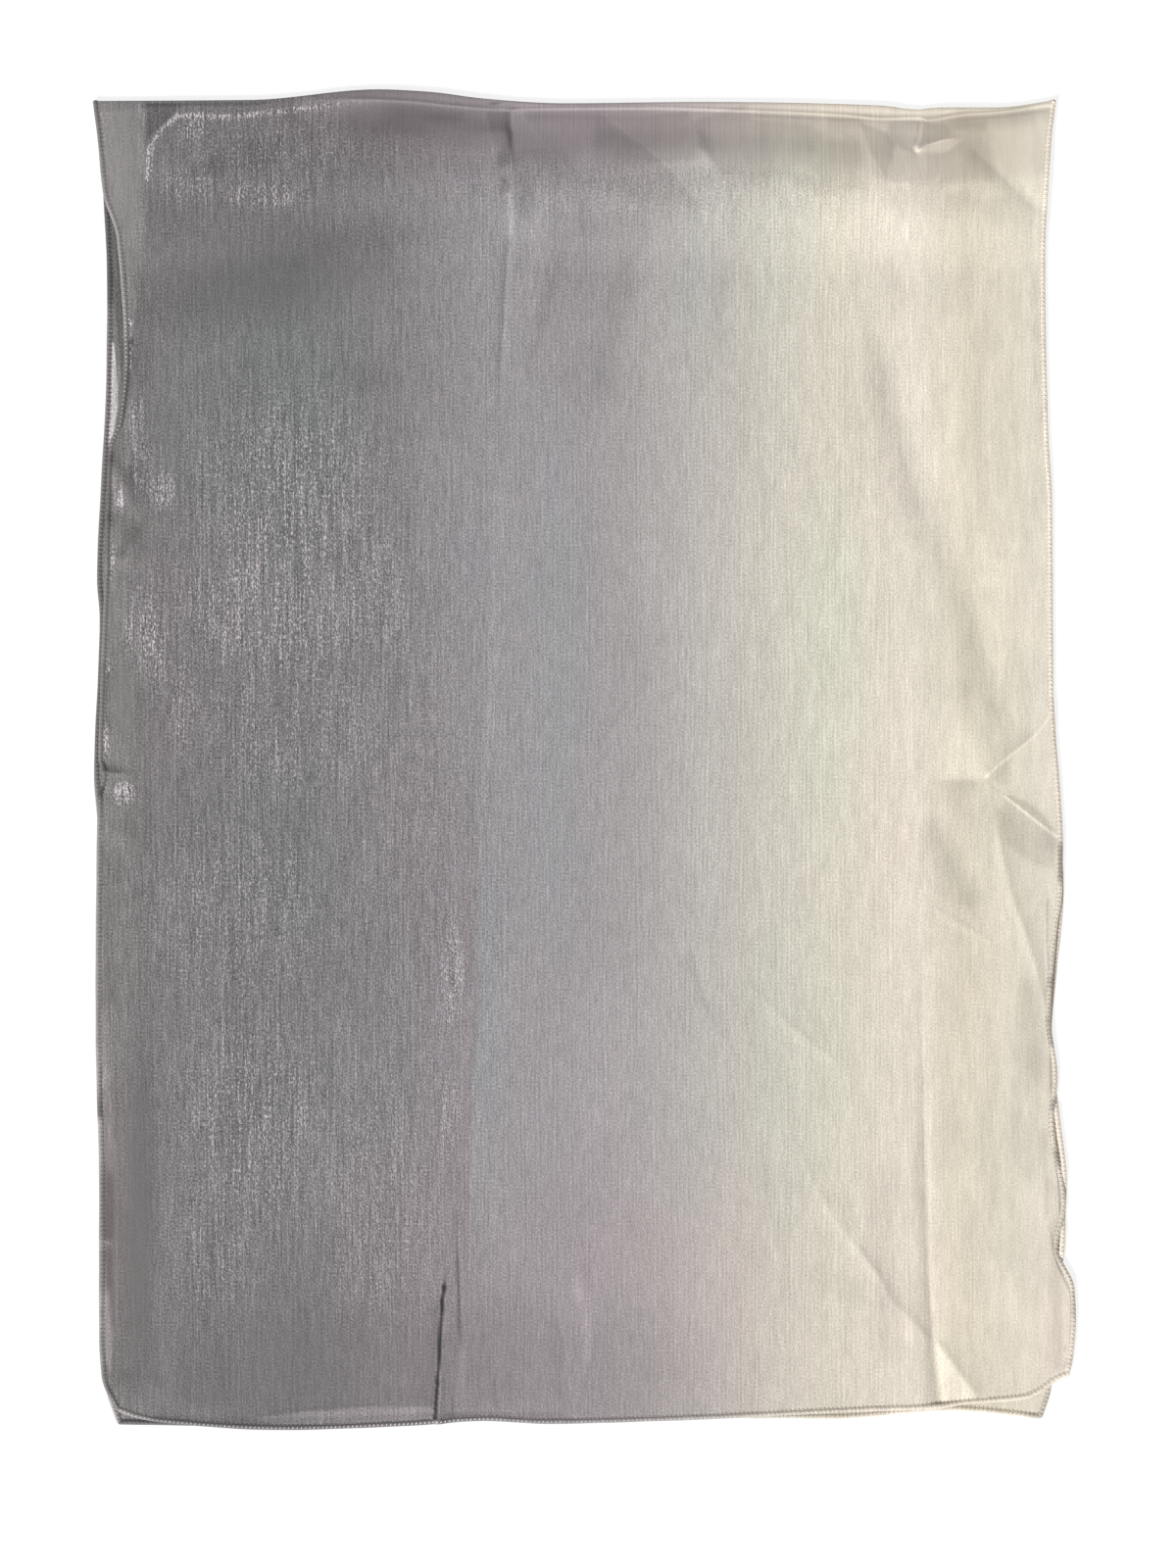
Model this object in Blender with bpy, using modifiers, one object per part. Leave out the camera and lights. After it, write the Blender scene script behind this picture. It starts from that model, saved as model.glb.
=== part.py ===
"""A long rectangular hijab of sheer ombre cloth, folded once across its length and laid flat.

The cloth is one cut piece with a narrow rolled hem all round. It lies on the plane z = 0 in two
layers: the back stretch is flat on the plane, the cloth rolls over at the fold (+Y side), and the
front stretch comes back down over it, with its pleat, creases and puckers. Each stretch, the roll
and each hem is one closed solid. Side hems run the whole cloth: down the front, round the fold and
down the back.

Frame: +X to the right across the cloth, +Y along it towards the fold, +Z up. The origin is under the
middle of the folded cloth, on the plane it lies on. The tables are in millimetres.
"""

import math
from enum import Enum
from typing import Callable, NamedTuple, Sequence

import bpy
import numpy as np

MM = 0.001

# Cloth and hems
CLOTH = 1.2  # thickness of the cloth wall
HEM_THICK = 1.8  # the edge is rolled, so it is thicker than the cloth
HEM_WIDTH = 3.2
GAP = 0.3  # clear distance between neighbouring pieces
PANEL_INSET = HEM_WIDTH + GAP  # from the outer edge of the hem to the edge of the panel

# Heights of the middle of the wall above the plane
BACK_MID = CLOTH / 2
BACK_HEM_MID = HEM_THICK / 2
FRONT_MID = BACK_MID + CLOTH + GAP  # front stretch on the back stretch
RIM_MID = HEM_THICK + GAP + HEM_THICK / 2  # front hem on the back hem
RIM_FULL, RIM_NONE = 22.0, 50.0  # from the edge, where the front has risen and where it starts to

# The roll at the fold, and the swell of slack cloth below it
ROLL_END = 459.0  # y of the straight line along which the rolled piece ends, front and back
ROLL_REACH = 40.0  # from the fold line to where the height of the roll no longer tells
SWELL_CREST = 46.0  # from the fold line to the top of the swell
SWELL_REACH = 125.0  # from the fold line to its foot


class SidePoint(NamedTuple):
    """Where a side edge is, at one place along the cloth."""

    y: float
    x: float


class CrossPoint(NamedTuple):
    """Where an end or the fold is, at one place across the cloth."""

    x: float
    y: float


class RollPoint(NamedTuple):
    """Radius of the roll at one place across the cloth. It is small where the cloth is pinched."""

    x: float
    radius: float


class SwellPoint(NamedTuple):
    """Height of the swell below the fold, at one place across the cloth."""

    x: float
    height: float


class Cells(NamedTuple):
    """A run of equal cells of a panel, in shares of its width or length."""

    start: float
    stop: float
    count: int


class Part(Enum):
    """The three parts of the roll's section."""

    FRONT_LEG = "front leg"
    ARC = "arc"
    BACK_LEG = "back leg"


class RollStation(NamedTuple):
    """A station of the roll's section. A leg's share runs up to the arc, the arc's from top to foot."""

    part: Part
    share: float


class Ridge(NamedTuple):
    """A fold that stands proud of the cloth, along a straight line that dies out at both ends."""

    x0: float
    y0: float
    x1: float
    y1: float
    width: float
    height: float


FRONT_LEFT = (
    SidePoint(y=479.5, x=-357.5),
    SidePoint(y=446.5, x=-353.5),
    SidePoint(y=412.0, x=-350.0),
    SidePoint(y=380.0, x=-340.0),
    SidePoint(y=290.0, x=-334.0),
    SidePoint(y=246.5, x=-338.5),
    SidePoint(y=228.5, x=-345.5),
    SidePoint(y=132.0, x=-349.0),
    SidePoint(y=54.0, x=-352.0),
    SidePoint(y=0.0, x=-353.5),
    SidePoint(y=-10.5, x=-350.5),
    SidePoint(y=-27.0, x=-354.0),
    SidePoint(y=-196.0, x=-355.5),
    SidePoint(y=-310.0, x=-353.0),
    SidePoint(y=-418.0, x=-353.0),
    SidePoint(y=-450.0, x=-351.0),
    SidePoint(y=-474.0, x=-340.5),
)
BACK_LEFT = (
    SidePoint(y=479.5, x=-357.5),
    SidePoint(y=446.5, x=-353.5),
    SidePoint(y=412.0, x=-350.5),
    SidePoint(y=340.0, x=-347.5),
    SidePoint(y=268.0, x=-348.5),
    SidePoint(y=210.0, x=-351.5),
    SidePoint(y=132.0, x=-355.0),
    SidePoint(y=104.0, x=-353.0),
    SidePoint(y=-10.5, x=-357.0),
    SidePoint(y=-54.0, x=-354.5),
    SidePoint(y=-196.0, x=-355.0),
    SidePoint(y=-310.0, x=-352.5),
    SidePoint(y=-418.0, x=-352.0),
    SidePoint(y=-456.0, x=-349.0),
    SidePoint(y=-484.5, x=-340.0),
)
FRONT_RIGHT = (
    SidePoint(y=480.0, x=343.5),
    SidePoint(y=446.5, x=339.5),
    SidePoint(y=360.0, x=335.5),
    SidePoint(y=232.0, x=338.0),
    SidePoint(y=190.0, x=340.5),
    SidePoint(y=54.0, x=341.5),
    SidePoint(y=-68.0, x=348.5),
    SidePoint(y=-96.0, x=348.0),
    SidePoint(y=-122.0, x=344.5),
    SidePoint(y=-188.0, x=339.5),
    SidePoint(y=-230.0, x=344.5),
    SidePoint(y=-262.0, x=342.0),
    SidePoint(y=-324.0, x=350.5),
    SidePoint(y=-355.0, x=345.0),
    SidePoint(y=-385.0, x=357.0),
    SidePoint(y=-405.0, x=358.0),
    SidePoint(y=-433.0, x=356.0),
    SidePoint(y=-449.5, x=353.0),
)
BACK_RIGHT = (
    SidePoint(y=480.0, x=343.5),
    SidePoint(y=446.5, x=339.5),
    SidePoint(y=360.0, x=335.0),
    SidePoint(y=232.0, x=337.5),
    SidePoint(y=54.0, x=341.0),
    SidePoint(y=-68.0, x=348.5),
    SidePoint(y=-96.0, x=349.5),
    SidePoint(y=-153.0, x=344.5),
    SidePoint(y=-196.0, x=341.0),
    SidePoint(y=-254.0, x=345.5),
    SidePoint(y=-310.0, x=351.5),
    SidePoint(y=-340.0, x=350.5),
    SidePoint(y=-432.0, x=343.0),
    SidePoint(y=-460.0, x=340.0),
    SidePoint(y=-480.5, x=333.5),
)
FRONT_END = (
    CrossPoint(x=-340.5, y=-474.0),
    CrossPoint(x=-325.0, y=-479.5),
    CrossPoint(x=-304.5, y=-483.0),
    CrossPoint(x=-218.5, y=-488.0),
    CrossPoint(x=-128.5, y=-485.0),
    CrossPoint(x=-71.5, y=-481.5),
    CrossPoint(x=-28.5, y=-483.5),
    CrossPoint(x=57.0, y=-481.5),
    CrossPoint(x=205.5, y=-474.5),
    CrossPoint(x=258.0, y=-472.5),
    CrossPoint(x=280.0, y=-468.5),
    CrossPoint(x=325.0, y=-463.5),
    CrossPoint(x=347.0, y=-448.5),
    CrossPoint(x=353.0, y=-449.5),
)
BACK_END = (
    CrossPoint(x=-340.0, y=-484.5),
    CrossPoint(x=-278.5, y=-485.5),
    CrossPoint(x=-218.0, y=-475.5),
    CrossPoint(x=-181.5, y=-472.0),
    CrossPoint(x=-108.5, y=-472.0),
    CrossPoint(x=-25.0, y=-474.5),
    CrossPoint(x=74.5, y=-479.5),
    CrossPoint(x=181.5, y=-480.5),
    CrossPoint(x=267.0, y=-474.5),
    CrossPoint(x=333.5, y=-480.5),
)
FOLD_LINE = (
    CrossPoint(x=-357.5, y=479.5),
    CrossPoint(x=-243.0, y=480.5),
    CrossPoint(x=-150.0, y=488.0),
    CrossPoint(x=-114.5, y=486.5),
    CrossPoint(x=-71.5, y=481.5),
    CrossPoint(x=-14.5, y=477.5),
    CrossPoint(x=85.5, y=478.5),
    CrossPoint(x=214.5, y=476.0),
    CrossPoint(x=243.0, y=473.0),
    CrossPoint(x=257.0, y=474.5),
    CrossPoint(x=300.0, y=474.5),
    CrossPoint(x=343.5, y=480.0),
)
ROLL = (
    RollPoint(x=-357.5, radius=1.4),
    RollPoint(x=-318.0, radius=1.5),
    RollPoint(x=-250.0, radius=1.7),
    RollPoint(x=-75.0, radius=1.7),
    RollPoint(x=-54.0, radius=1.4),
    RollPoint(x=-35.0, radius=1.6),
    RollPoint(x=215.0, radius=1.6),
    RollPoint(x=243.0, radius=1.4),
    RollPoint(x=262.0, radius=1.6),
    RollPoint(x=343.5, radius=1.4),
)
SWELL = (
    SwellPoint(x=-357.5, height=0.4),
    SwellPoint(x=-318.0, height=1.0),
    SwellPoint(x=-240.0, height=2.4),
    SwellPoint(x=-170.0, height=5.6),
    SwellPoint(x=-130.0, height=6.6),
    SwellPoint(x=-54.0, height=6.0),
    SwellPoint(x=40.0, height=6.8),
    SwellPoint(x=230.0, height=6.8),
    SwellPoint(x=290.0, height=5.0),
    SwellPoint(x=343.5, height=1.6),
)
RIDGES = (
    # package creases, worn soft
    Ridge(x0=-318, y0=446, x1=-318, y1=318, width=20, height=2.0),
    Ridge(x0=-52, y0=472, x1=-62, y1=245, width=16, height=1.8),
    Ridge(x0=250, y0=-236, x1=255, y1=-440, width=18, height=2.5),
    # the pleat that stands at the front end
    Ridge(x0=-100, y0=-372, x1=-102, y1=-500, width=9, height=4.5),
    # the left edge, which curls up off the back stretch
    Ridge(x0=-336, y0=385, x1=-334, y1=240, width=16, height=4.5),
    Ridge(x0=-352, y0=-6, x1=-325, y1=-10, width=14, height=3.0),
    # pucker below the fold, near the right corner
    Ridge(x0=200, y0=462, x1=226, y1=410, width=16, height=2.2),
    Ridge(x0=235, y0=424, x1=233, y1=335, width=14, height=2.2),
    Ridge(x0=268, y0=428, x1=338, y1=386, width=20, height=2.8),
    # the long swag that runs down to the star
    Ridge(x0=236, y0=318, x1=272, y1=150, width=44, height=3.2),
    Ridge(x0=276, y0=156, x1=318, y1=20, width=34, height=3.6),
    # the star: arms up to the edge, down to the edge, and a long tail
    Ridge(x0=294, y0=-10, x1=342, y1=34, width=13, height=3.4),
    Ridge(x0=296, y0=-20, x1=350, y1=-59, width=14, height=5.0),
    Ridge(x0=297, y0=-16, x1=309, y1=-92, width=15, height=4.4),
    Ridge(x0=307, y0=-84, x1=340, y1=-192, width=17, height=5.0),
    # creases that fan out to the front end, and the puffed corner
    Ridge(x0=176, y0=-334, x1=256, y1=-428, width=18, height=3.0),
    Ridge(x0=252, y0=-424, x1=284, y1=-470, width=15, height=3.6),
    Ridge(x0=330, y0=-380, x1=352, y1=-425, width=30, height=4.5),
    Ridge(x0=322, y0=-318, x1=352, y1=-324, width=18, height=3.0),
)

# Cells are small where the cloth is creased. Shares are of the width and of the length below the fold.
FRONT_ACROSS = (
    Cells(0.00, 0.07, 4),
    Cells(0.07, 0.33, 5),
    Cells(0.33, 0.39, 8),
    Cells(0.39, 0.76, 8),
    Cells(0.76, 1.00, 19),
)
FRONT_ALONG = (
    Cells(0.00, 0.04, 3),
    Cells(0.04, 0.12, 4),
    Cells(0.12, 0.47, 11),
    Cells(0.47, 0.72, 18),
    Cells(0.72, 1.00, 15),
)
BACK_ACROSS = (Cells(0.0, 1.0, 12),)
BACK_ALONG = (Cells(0.0, 1.0, 16),)
ARC_CELLS = 6
# Shares across that stand for the edges of the side hems
OUTER_LEFT, INNER_LEFT, INNER_RIGHT, OUTER_RIGHT = -1.0, -0.5, 1.5, 2.0
ROLL_SECTION = (
    RollStation(Part.FRONT_LEG, 0.0),
    RollStation(Part.FRONT_LEG, 0.5),
    *(RollStation(Part.ARC, cell / ARC_CELLS) for cell in range(ARC_CELLS + 1)),
    RollStation(Part.BACK_LEG, 0.0),
)

Curve = Callable[[np.ndarray], np.ndarray]


def smooth_curve(rows: Sequence[tuple[float, float]]) -> Curve:
    """Returns a smooth function through rows of (place, value) that never overshoots a row."""
    table = np.array(sorted((row[0], row[1]) for row in rows), float)
    place, value = table[:, 0], table[:, 1]
    step = np.diff(place)
    slope = np.diff(value) / step
    tangent = np.zeros(len(place))
    same_way = slope[:-1] * slope[1:] > 0
    near, far = 2 * step[1:] + step[:-1], step[1:] + 2 * step[:-1]
    inner = np.where(same_way, slope[:-1] * slope[1:], 0.0)
    tangent[1:-1] = inner * (near + far) / np.where(same_way, near * slope[1:] + far * slope[:-1], 1.0)
    tangent[0], tangent[-1] = slope[0], slope[-1]

    def curve(at: np.ndarray) -> np.ndarray:
        """Cubic between the rows, straight on past the ends."""
        held = np.clip(at, place[0], place[-1])
        i = np.clip(np.searchsorted(place, held) - 1, 0, len(step) - 1)
        t = (held - place[i]) / step[i]
        inside = (
            (2 * t**3 - 3 * t**2 + 1) * value[i]
            + (t**3 - 2 * t**2 + t) * step[i] * tangent[i]
            + (3 * t**2 - 2 * t**3) * value[i + 1]
            + (t**3 - t**2) * step[i] * tangent[i + 1]
        )
        past = at - held
        return inside + past * np.where(past < 0, tangent[0], tangent[-1])

    return curve


def soft_step(at: np.ndarray) -> np.ndarray:
    """0 below 0, 1 above 1, and smooth between."""
    t = np.clip(at, 0.0, 1.0)
    return t * t * (3 - 2 * t)


class Layer(NamedTuple):
    """The outer edges of one stretch of the cloth, seen from above."""

    left: Curve
    right: Curve
    end: Curve


FOLD = smooth_curve(FOLD_LINE)
RADIUS = smooth_curve(ROLL)
SWELL_AT = smooth_curve(SWELL)
FRONT = Layer(
    smooth_curve(FRONT_LEFT), smooth_curve(FRONT_RIGHT), smooth_curve(FRONT_END)
)
BACK = Layer(
    smooth_curve(BACK_LEFT), smooth_curve(BACK_RIGHT), smooth_curve(BACK_END)
)


def ridges_at(x: np.ndarray, y: np.ndarray) -> np.ndarray:
    """Height that the folds add at a place on the front stretch."""
    added = np.zeros_like(x)
    for ridge in RIDGES:
        along = np.array((ridge.x1 - ridge.x0, ridge.y1 - ridge.y0))
        length = np.hypot(*along)
        along = along / length
        run = (x - ridge.x0) * along[0] + (y - ridge.y0) * along[1]
        off = (x - ridge.x0) * -along[1] + (y - ridge.y0) * along[0]
        fade = soft_step(run / (0.3 * length)) * soft_step((length - run) / (0.3 * length))
        crest = soft_step(1 - np.abs(off) / ridge.width)
        added = np.maximum(added, ridge.height * fade * crest)
    return added


def front_mid(x: np.ndarray, y: np.ndarray) -> np.ndarray:
    """Height of the middle of the front stretch: it rests on the back, swells below the fold and has folds."""
    to_edge = np.minimum(x - FRONT.left(y), FRONT.right(y) - x)
    to_edge = np.minimum(to_edge, y - FRONT.end(x))
    rim = soft_step((RIM_NONE - to_edge) / (RIM_NONE - RIM_FULL))
    resting = FRONT_MID + (RIM_MID - FRONT_MID) * rim
    from_fold = FOLD(x) - y
    radius = RADIUS(x)
    crest = BACK_MID + 2 * radius
    roll = soft_step(1 - (from_fold - radius) / (ROLL_REACH - radius))
    up = soft_step(from_fold / SWELL_CREST)
    down = soft_step((SWELL_REACH - from_fold) / (SWELL_REACH - SWELL_CREST))
    swell = SWELL_AT(x) * up * down
    lying = resting + swell + ridges_at(x, y)
    return lying + (crest - lying) * roll


def stations(cells: Sequence[Cells]) -> np.ndarray:
    """The shares at which a panel has its rows or columns of points."""
    runs = [np.linspace(c.start, c.stop, c.count, endpoint=False) for c in cells]
    return np.append(np.concatenate(runs), cells[-1].stop)


def place_in_layer(
    layer: Layer, across: np.ndarray, below: np.ndarray, inset: float
) -> tuple[np.ndarray, np.ndarray]:
    """Turns shares across and below the fold into a place on a layer.

    Args:
        layer: the stretch.
        across: share of the panel's width, or the share that stands for an edge of a side hem.
        below: share of the way from the rolled piece to the stretch's end.
        inset: how far the end of the piece lies inside the stretch's outer edge.

    Returns:
        x and y, in millimetres.
    """
    share = np.clip(across, 0.0, 1.0)
    x = layer.left(np.zeros_like(share)) * (1 - share) + layer.right(np.zeros_like(share)) * share
    top = ROLL_END - GAP
    for _ in range(4):
        y = top + (layer.end(x) + inset - top) * below
        x = across_layer(layer, across, y)
    return x, y


def across_layer(layer: Layer, across: np.ndarray, y: np.ndarray) -> np.ndarray:
    """x at a share across a layer, where the panel lies between the side hems, or at a hem's edge."""
    left, right = layer.left(y), layer.right(y)
    share = np.clip(across, 0.0, 1.0)
    panel = (left + PANEL_INSET) * (1 - share) + (right - PANEL_INSET) * share
    x = np.where(across == OUTER_LEFT, left, panel)
    x = np.where(across == INNER_LEFT, left + HEM_WIDTH, x)
    x = np.where(across == INNER_RIGHT, right - HEM_WIDTH, x)
    return np.where(across == OUTER_RIGHT, right, x)


def front_places(
    across: np.ndarray, below: np.ndarray, inset: float, lowest: float
) -> np.ndarray:
    """Points of the front stretch, no lower than the given height."""
    x, y = place_in_layer(FRONT, across, below, inset)
    return np.stack([x, y, np.maximum(front_mid(x, y), lowest)], axis=-1)


def back_places(across: np.ndarray, below: np.ndarray, inset: float, mid: float) -> np.ndarray:
    """Points of the back stretch, flat at one height."""
    x, y = place_in_layer(BACK, across, below, inset)
    return np.stack([x, y, np.full_like(x, mid)], axis=-1)


def roll_places(across: np.ndarray, station: RollStation, lowest: float) -> np.ndarray:
    """Points of the rolled cloth at one station of its section, no lower than the given height."""
    x = across_layer(FRONT, across, np.full_like(across, ROLL_END))
    fold, radius = FOLD(x), RADIUS(x)
    if station.part is Part.ARC:
        turn = math.pi * (0.5 - station.share)
        y = fold - radius + radius * math.cos(turn)
        z = BACK_MID + radius + radius * math.sin(turn)
    else:
        y = ROLL_END + (fold - radius - ROLL_END) * station.share
        z = front_mid(x, y) if station.part is Part.FRONT_LEG else np.full_like(x, BACK_MID)
    x = across_layer(FRONT, across, y)
    return np.stack([x, y, np.maximum(z, lowest)], axis=-1)


def new_collection(name: str) -> bpy.types.Collection:
    """Makes an empty collection and puts it in the scene."""
    collection = bpy.data.collections.new(name)
    bpy.context.scene.collection.children.link(collection)
    return collection


def cloth_material(name: str, colour: tuple[float, float, float], roughness: float) -> bpy.types.Material:
    """A plain cloth finish."""
    material = bpy.data.materials.new(name)
    material.use_nodes = True
    shader = material.node_tree.nodes["Principled BSDF"]
    shader.inputs["Base Color"].default_value = (*colour, 1.0)
    shader.inputs["Roughness"].default_value = roughness
    shader.inputs["Metallic"].default_value = 0.0
    shader.inputs["Sheen Weight"].default_value = 0.3
    return material


def sheet_solid(
    name: str, points: np.ndarray, thickness: float, material: bpy.types.Material
) -> bpy.types.Object:
    """Bends a flat grid to the points and gives it a wall.

    Args:
        name: the piece's name.
        points: rows x columns x 3 in millimetres, the middle of the wall.
        thickness: of the wall, in millimetres.
        material: its finish.

    Returns:
        The piece, one closed shell.
    """
    rows, columns = points.shape[:2]
    bpy.ops.mesh.primitive_grid_add(x_subdivisions=columns - 1, y_subdivisions=rows - 1, size=1.0)
    piece = bpy.context.object
    piece.name = piece.data.name = name
    for vertex in piece.data.vertices:
        column = round((vertex.co.x + 0.5) * (columns - 1))
        row = round((0.5 - vertex.co.y) * (rows - 1))
        vertex.co = points[row, column] * MM
    wall = piece.modifiers.new("wall", "SOLIDIFY")
    wall.thickness = thickness * MM
    wall.offset = 0.0
    wall.use_even_offset = True
    wall.use_quality_normals = True
    piece.data.materials.append(material)
    return piece


def panel_points(
    places: Callable[..., np.ndarray], across: np.ndarray, below: np.ndarray, **options: float
) -> np.ndarray:
    """A grid of points, rows from the fold to the end and columns from left to right."""
    share_across, share_below = np.meshgrid(across, below)
    return places(share_across, share_below, **options)


def to_very_end(places: Callable[..., np.ndarray], across: np.ndarray, **options: float) -> np.ndarray:
    """The rows of a side hem beside one stretch: those of its panel, then one at the very end."""
    cells = FRONT_ALONG if places is front_places else BACK_ALONG
    beside = panel_points(places, across, stations(cells), inset=PANEL_INSET, **options)
    last = panel_points(places, across, np.array([1.0]), inset=0.0, **options)
    return np.concatenate([beside, last])


def side_hem_points(outer: float, inner: float) -> np.ndarray:
    """A side hem's strip: up the front, round the roll and down the back."""
    edges = np.array(sorted((outer, inner)))
    front = to_very_end(front_places, edges, lowest=RIM_MID)[::-1]
    roll = np.stack([roll_places(edges, station, BACK_HEM_MID) for station in ROLL_SECTION])
    back = to_very_end(back_places, edges, mid=BACK_HEM_MID)
    return np.concatenate([front, roll[1:-1], back])


def end_hem_points(
    places: Callable[..., np.ndarray], across: np.ndarray, **options: float
) -> np.ndarray:
    """An end hem's strip: its inner edge, then its outer one."""
    at_end = np.array([1.0])
    inner = panel_points(places, across, at_end, inset=HEM_WIDTH, **options)
    outer = panel_points(places, across, at_end, inset=0.0, **options)
    return np.concatenate([inner, outer])


def build_hijab() -> None:
    """Makes every piece, in a collection of its own."""
    for found in list(bpy.data.objects):
        bpy.data.objects.remove(found)
    cloth = cloth_material("ombre_cloth", (0.40, 0.37, 0.36), 0.45)
    hem = cloth_material("rolled_hem", (0.35, 0.32, 0.31), 0.6)
    front_across, back_across = stations(FRONT_ACROSS), stations(BACK_ACROSS)
    front = panel_points(
        front_places, front_across, stations(FRONT_ALONG), inset=PANEL_INSET, lowest=FRONT_MID
    )
    back = panel_points(
        back_places, back_across, stations(BACK_ALONG), inset=PANEL_INSET, mid=BACK_MID
    )
    roll = np.stack([roll_places(front_across, station, BACK_MID) for station in ROLL_SECTION])
    pieces = [
        sheet_solid("front_panel", front, CLOTH, cloth),
        sheet_solid("top_fold", roll, CLOTH, cloth),
        sheet_solid("back_panel", back, CLOTH, cloth),
        sheet_solid("left_hem", side_hem_points(OUTER_LEFT, INNER_LEFT), HEM_THICK, hem),
        sheet_solid("right_hem", side_hem_points(INNER_RIGHT, OUTER_RIGHT), HEM_THICK, hem),
        sheet_solid(
            "front_end_hem",
            end_hem_points(front_places, front_across, lowest=RIM_MID),
            HEM_THICK,
            hem,
        ),
        sheet_solid(
            "back_end_hem",
            end_hem_points(back_places, back_across, mid=BACK_HEM_MID),
            HEM_THICK,
            hem,
        ),
    ]
    collection = new_collection("folded_hijab")
    for piece in pieces:
        for other in list(piece.users_collection):
            other.objects.unlink(piece)
        collection.objects.link(piece)


build_hijab()
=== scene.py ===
"""Looks of a long sheer ombre hijab, folded once across its length and laid flat.

The cloth is one piece with a rolled, overcast hem all round. The front stretch and the roll at the fold
are one sheet, the back stretch is another, and the hems and their stitching are pieces on them. All sizes
are in millimetres until they go into a mesh.
"""

import logging
import math
from dataclasses import dataclass, field
from enum import Enum
from functools import reduce
from typing import Callable, Sequence

import bpy
import numpy as np
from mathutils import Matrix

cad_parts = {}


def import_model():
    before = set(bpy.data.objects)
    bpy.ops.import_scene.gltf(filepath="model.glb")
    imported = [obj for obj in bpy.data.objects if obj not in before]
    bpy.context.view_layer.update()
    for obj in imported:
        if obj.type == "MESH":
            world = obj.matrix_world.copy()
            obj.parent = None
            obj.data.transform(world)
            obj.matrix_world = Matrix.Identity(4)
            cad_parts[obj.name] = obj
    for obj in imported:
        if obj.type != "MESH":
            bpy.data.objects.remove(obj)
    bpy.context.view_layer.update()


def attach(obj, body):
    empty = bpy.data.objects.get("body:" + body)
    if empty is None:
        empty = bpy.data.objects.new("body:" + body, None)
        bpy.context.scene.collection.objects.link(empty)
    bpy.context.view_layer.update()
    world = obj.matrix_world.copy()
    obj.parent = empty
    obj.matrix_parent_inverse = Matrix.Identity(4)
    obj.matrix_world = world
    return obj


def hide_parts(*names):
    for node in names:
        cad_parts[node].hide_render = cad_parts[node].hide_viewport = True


MM = 0.001
# rough width and length of a stretch, for its first layout and its count of cells
WIDE, LONG = 690, 950
FIRST_X = -350
# from the left rim of the flat cloth to x = 0, and the run along it at y = 0 on the back and on the front
FROM_RIM = 352
BACK_RUN, FRONT_RUN = 500, 1460
LOG = logging.getLogger("hijab")

Rows = tuple[tuple[float, float], ...]
Colour = tuple[float, float, float]
Mixed = tuple[float, float, float, float]
Scale = tuple[float, float]
Array = np.ndarray
Curve = Callable[[Array], Array]
Piece = bpy.types.Object
Socket = bpy.types.NodeSocket


def smooth_curve(rows: Rows) -> Curve:
    """Makes a smooth function through rows of (place, value) that never overshoots a row.

    Args:
        rows: places and the values there.

    Returns:
        The function. It goes straight on past the first and last rows.
    """
    table = np.array(sorted(rows), float)
    place, value = table[:, 0], table[:, 1]
    step = np.diff(place)
    slope = np.diff(value) / step
    tangent = np.zeros(len(place))
    same_way = slope[:-1] * slope[1:] > 0
    near, far = 2 * step[1:] + step[:-1], step[1:] + 2 * step[:-1]
    inner = np.where(same_way, slope[:-1] * slope[1:], 0.0)
    tangent[1:-1] = inner * (near + far) / np.where(same_way, near * slope[1:] + far * slope[:-1], 1.0)
    tangent[0], tangent[-1] = slope[0], slope[-1]

    def curve(at: Array) -> Array:
        """Cubic between the rows.

        Args:
            at: places.

        Returns:
            The values there.
        """
        held = np.clip(at, place[0], place[-1])
        i = np.clip(np.searchsorted(place, held) - 1, 0, len(step) - 1)
        t = (held - place[i]) / step[i]
        inside = (
            (2 * t**3 - 3 * t**2 + 1) * value[i]
            + (t**3 - 2 * t**2 + t) * step[i] * tangent[i]
            + (3 * t**2 - 2 * t**3) * value[i + 1]
            + (t**3 - t**2) * step[i] * tangent[i + 1]
        )
        past = at - held
        return inside + past * np.where(past < 0, tangent[0], tangent[-1])

    return curve


def soft_step(at: Array) -> Array:
    """0 below 0, 1 above 1, and smooth between."""
    t = np.clip(at, 0.0, 1.0)
    return t * t * (3 - 2 * t)


class Profile(Enum):
    """The section of a crease."""

    ROUND = "round"
    SHARP = "sharp"


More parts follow.
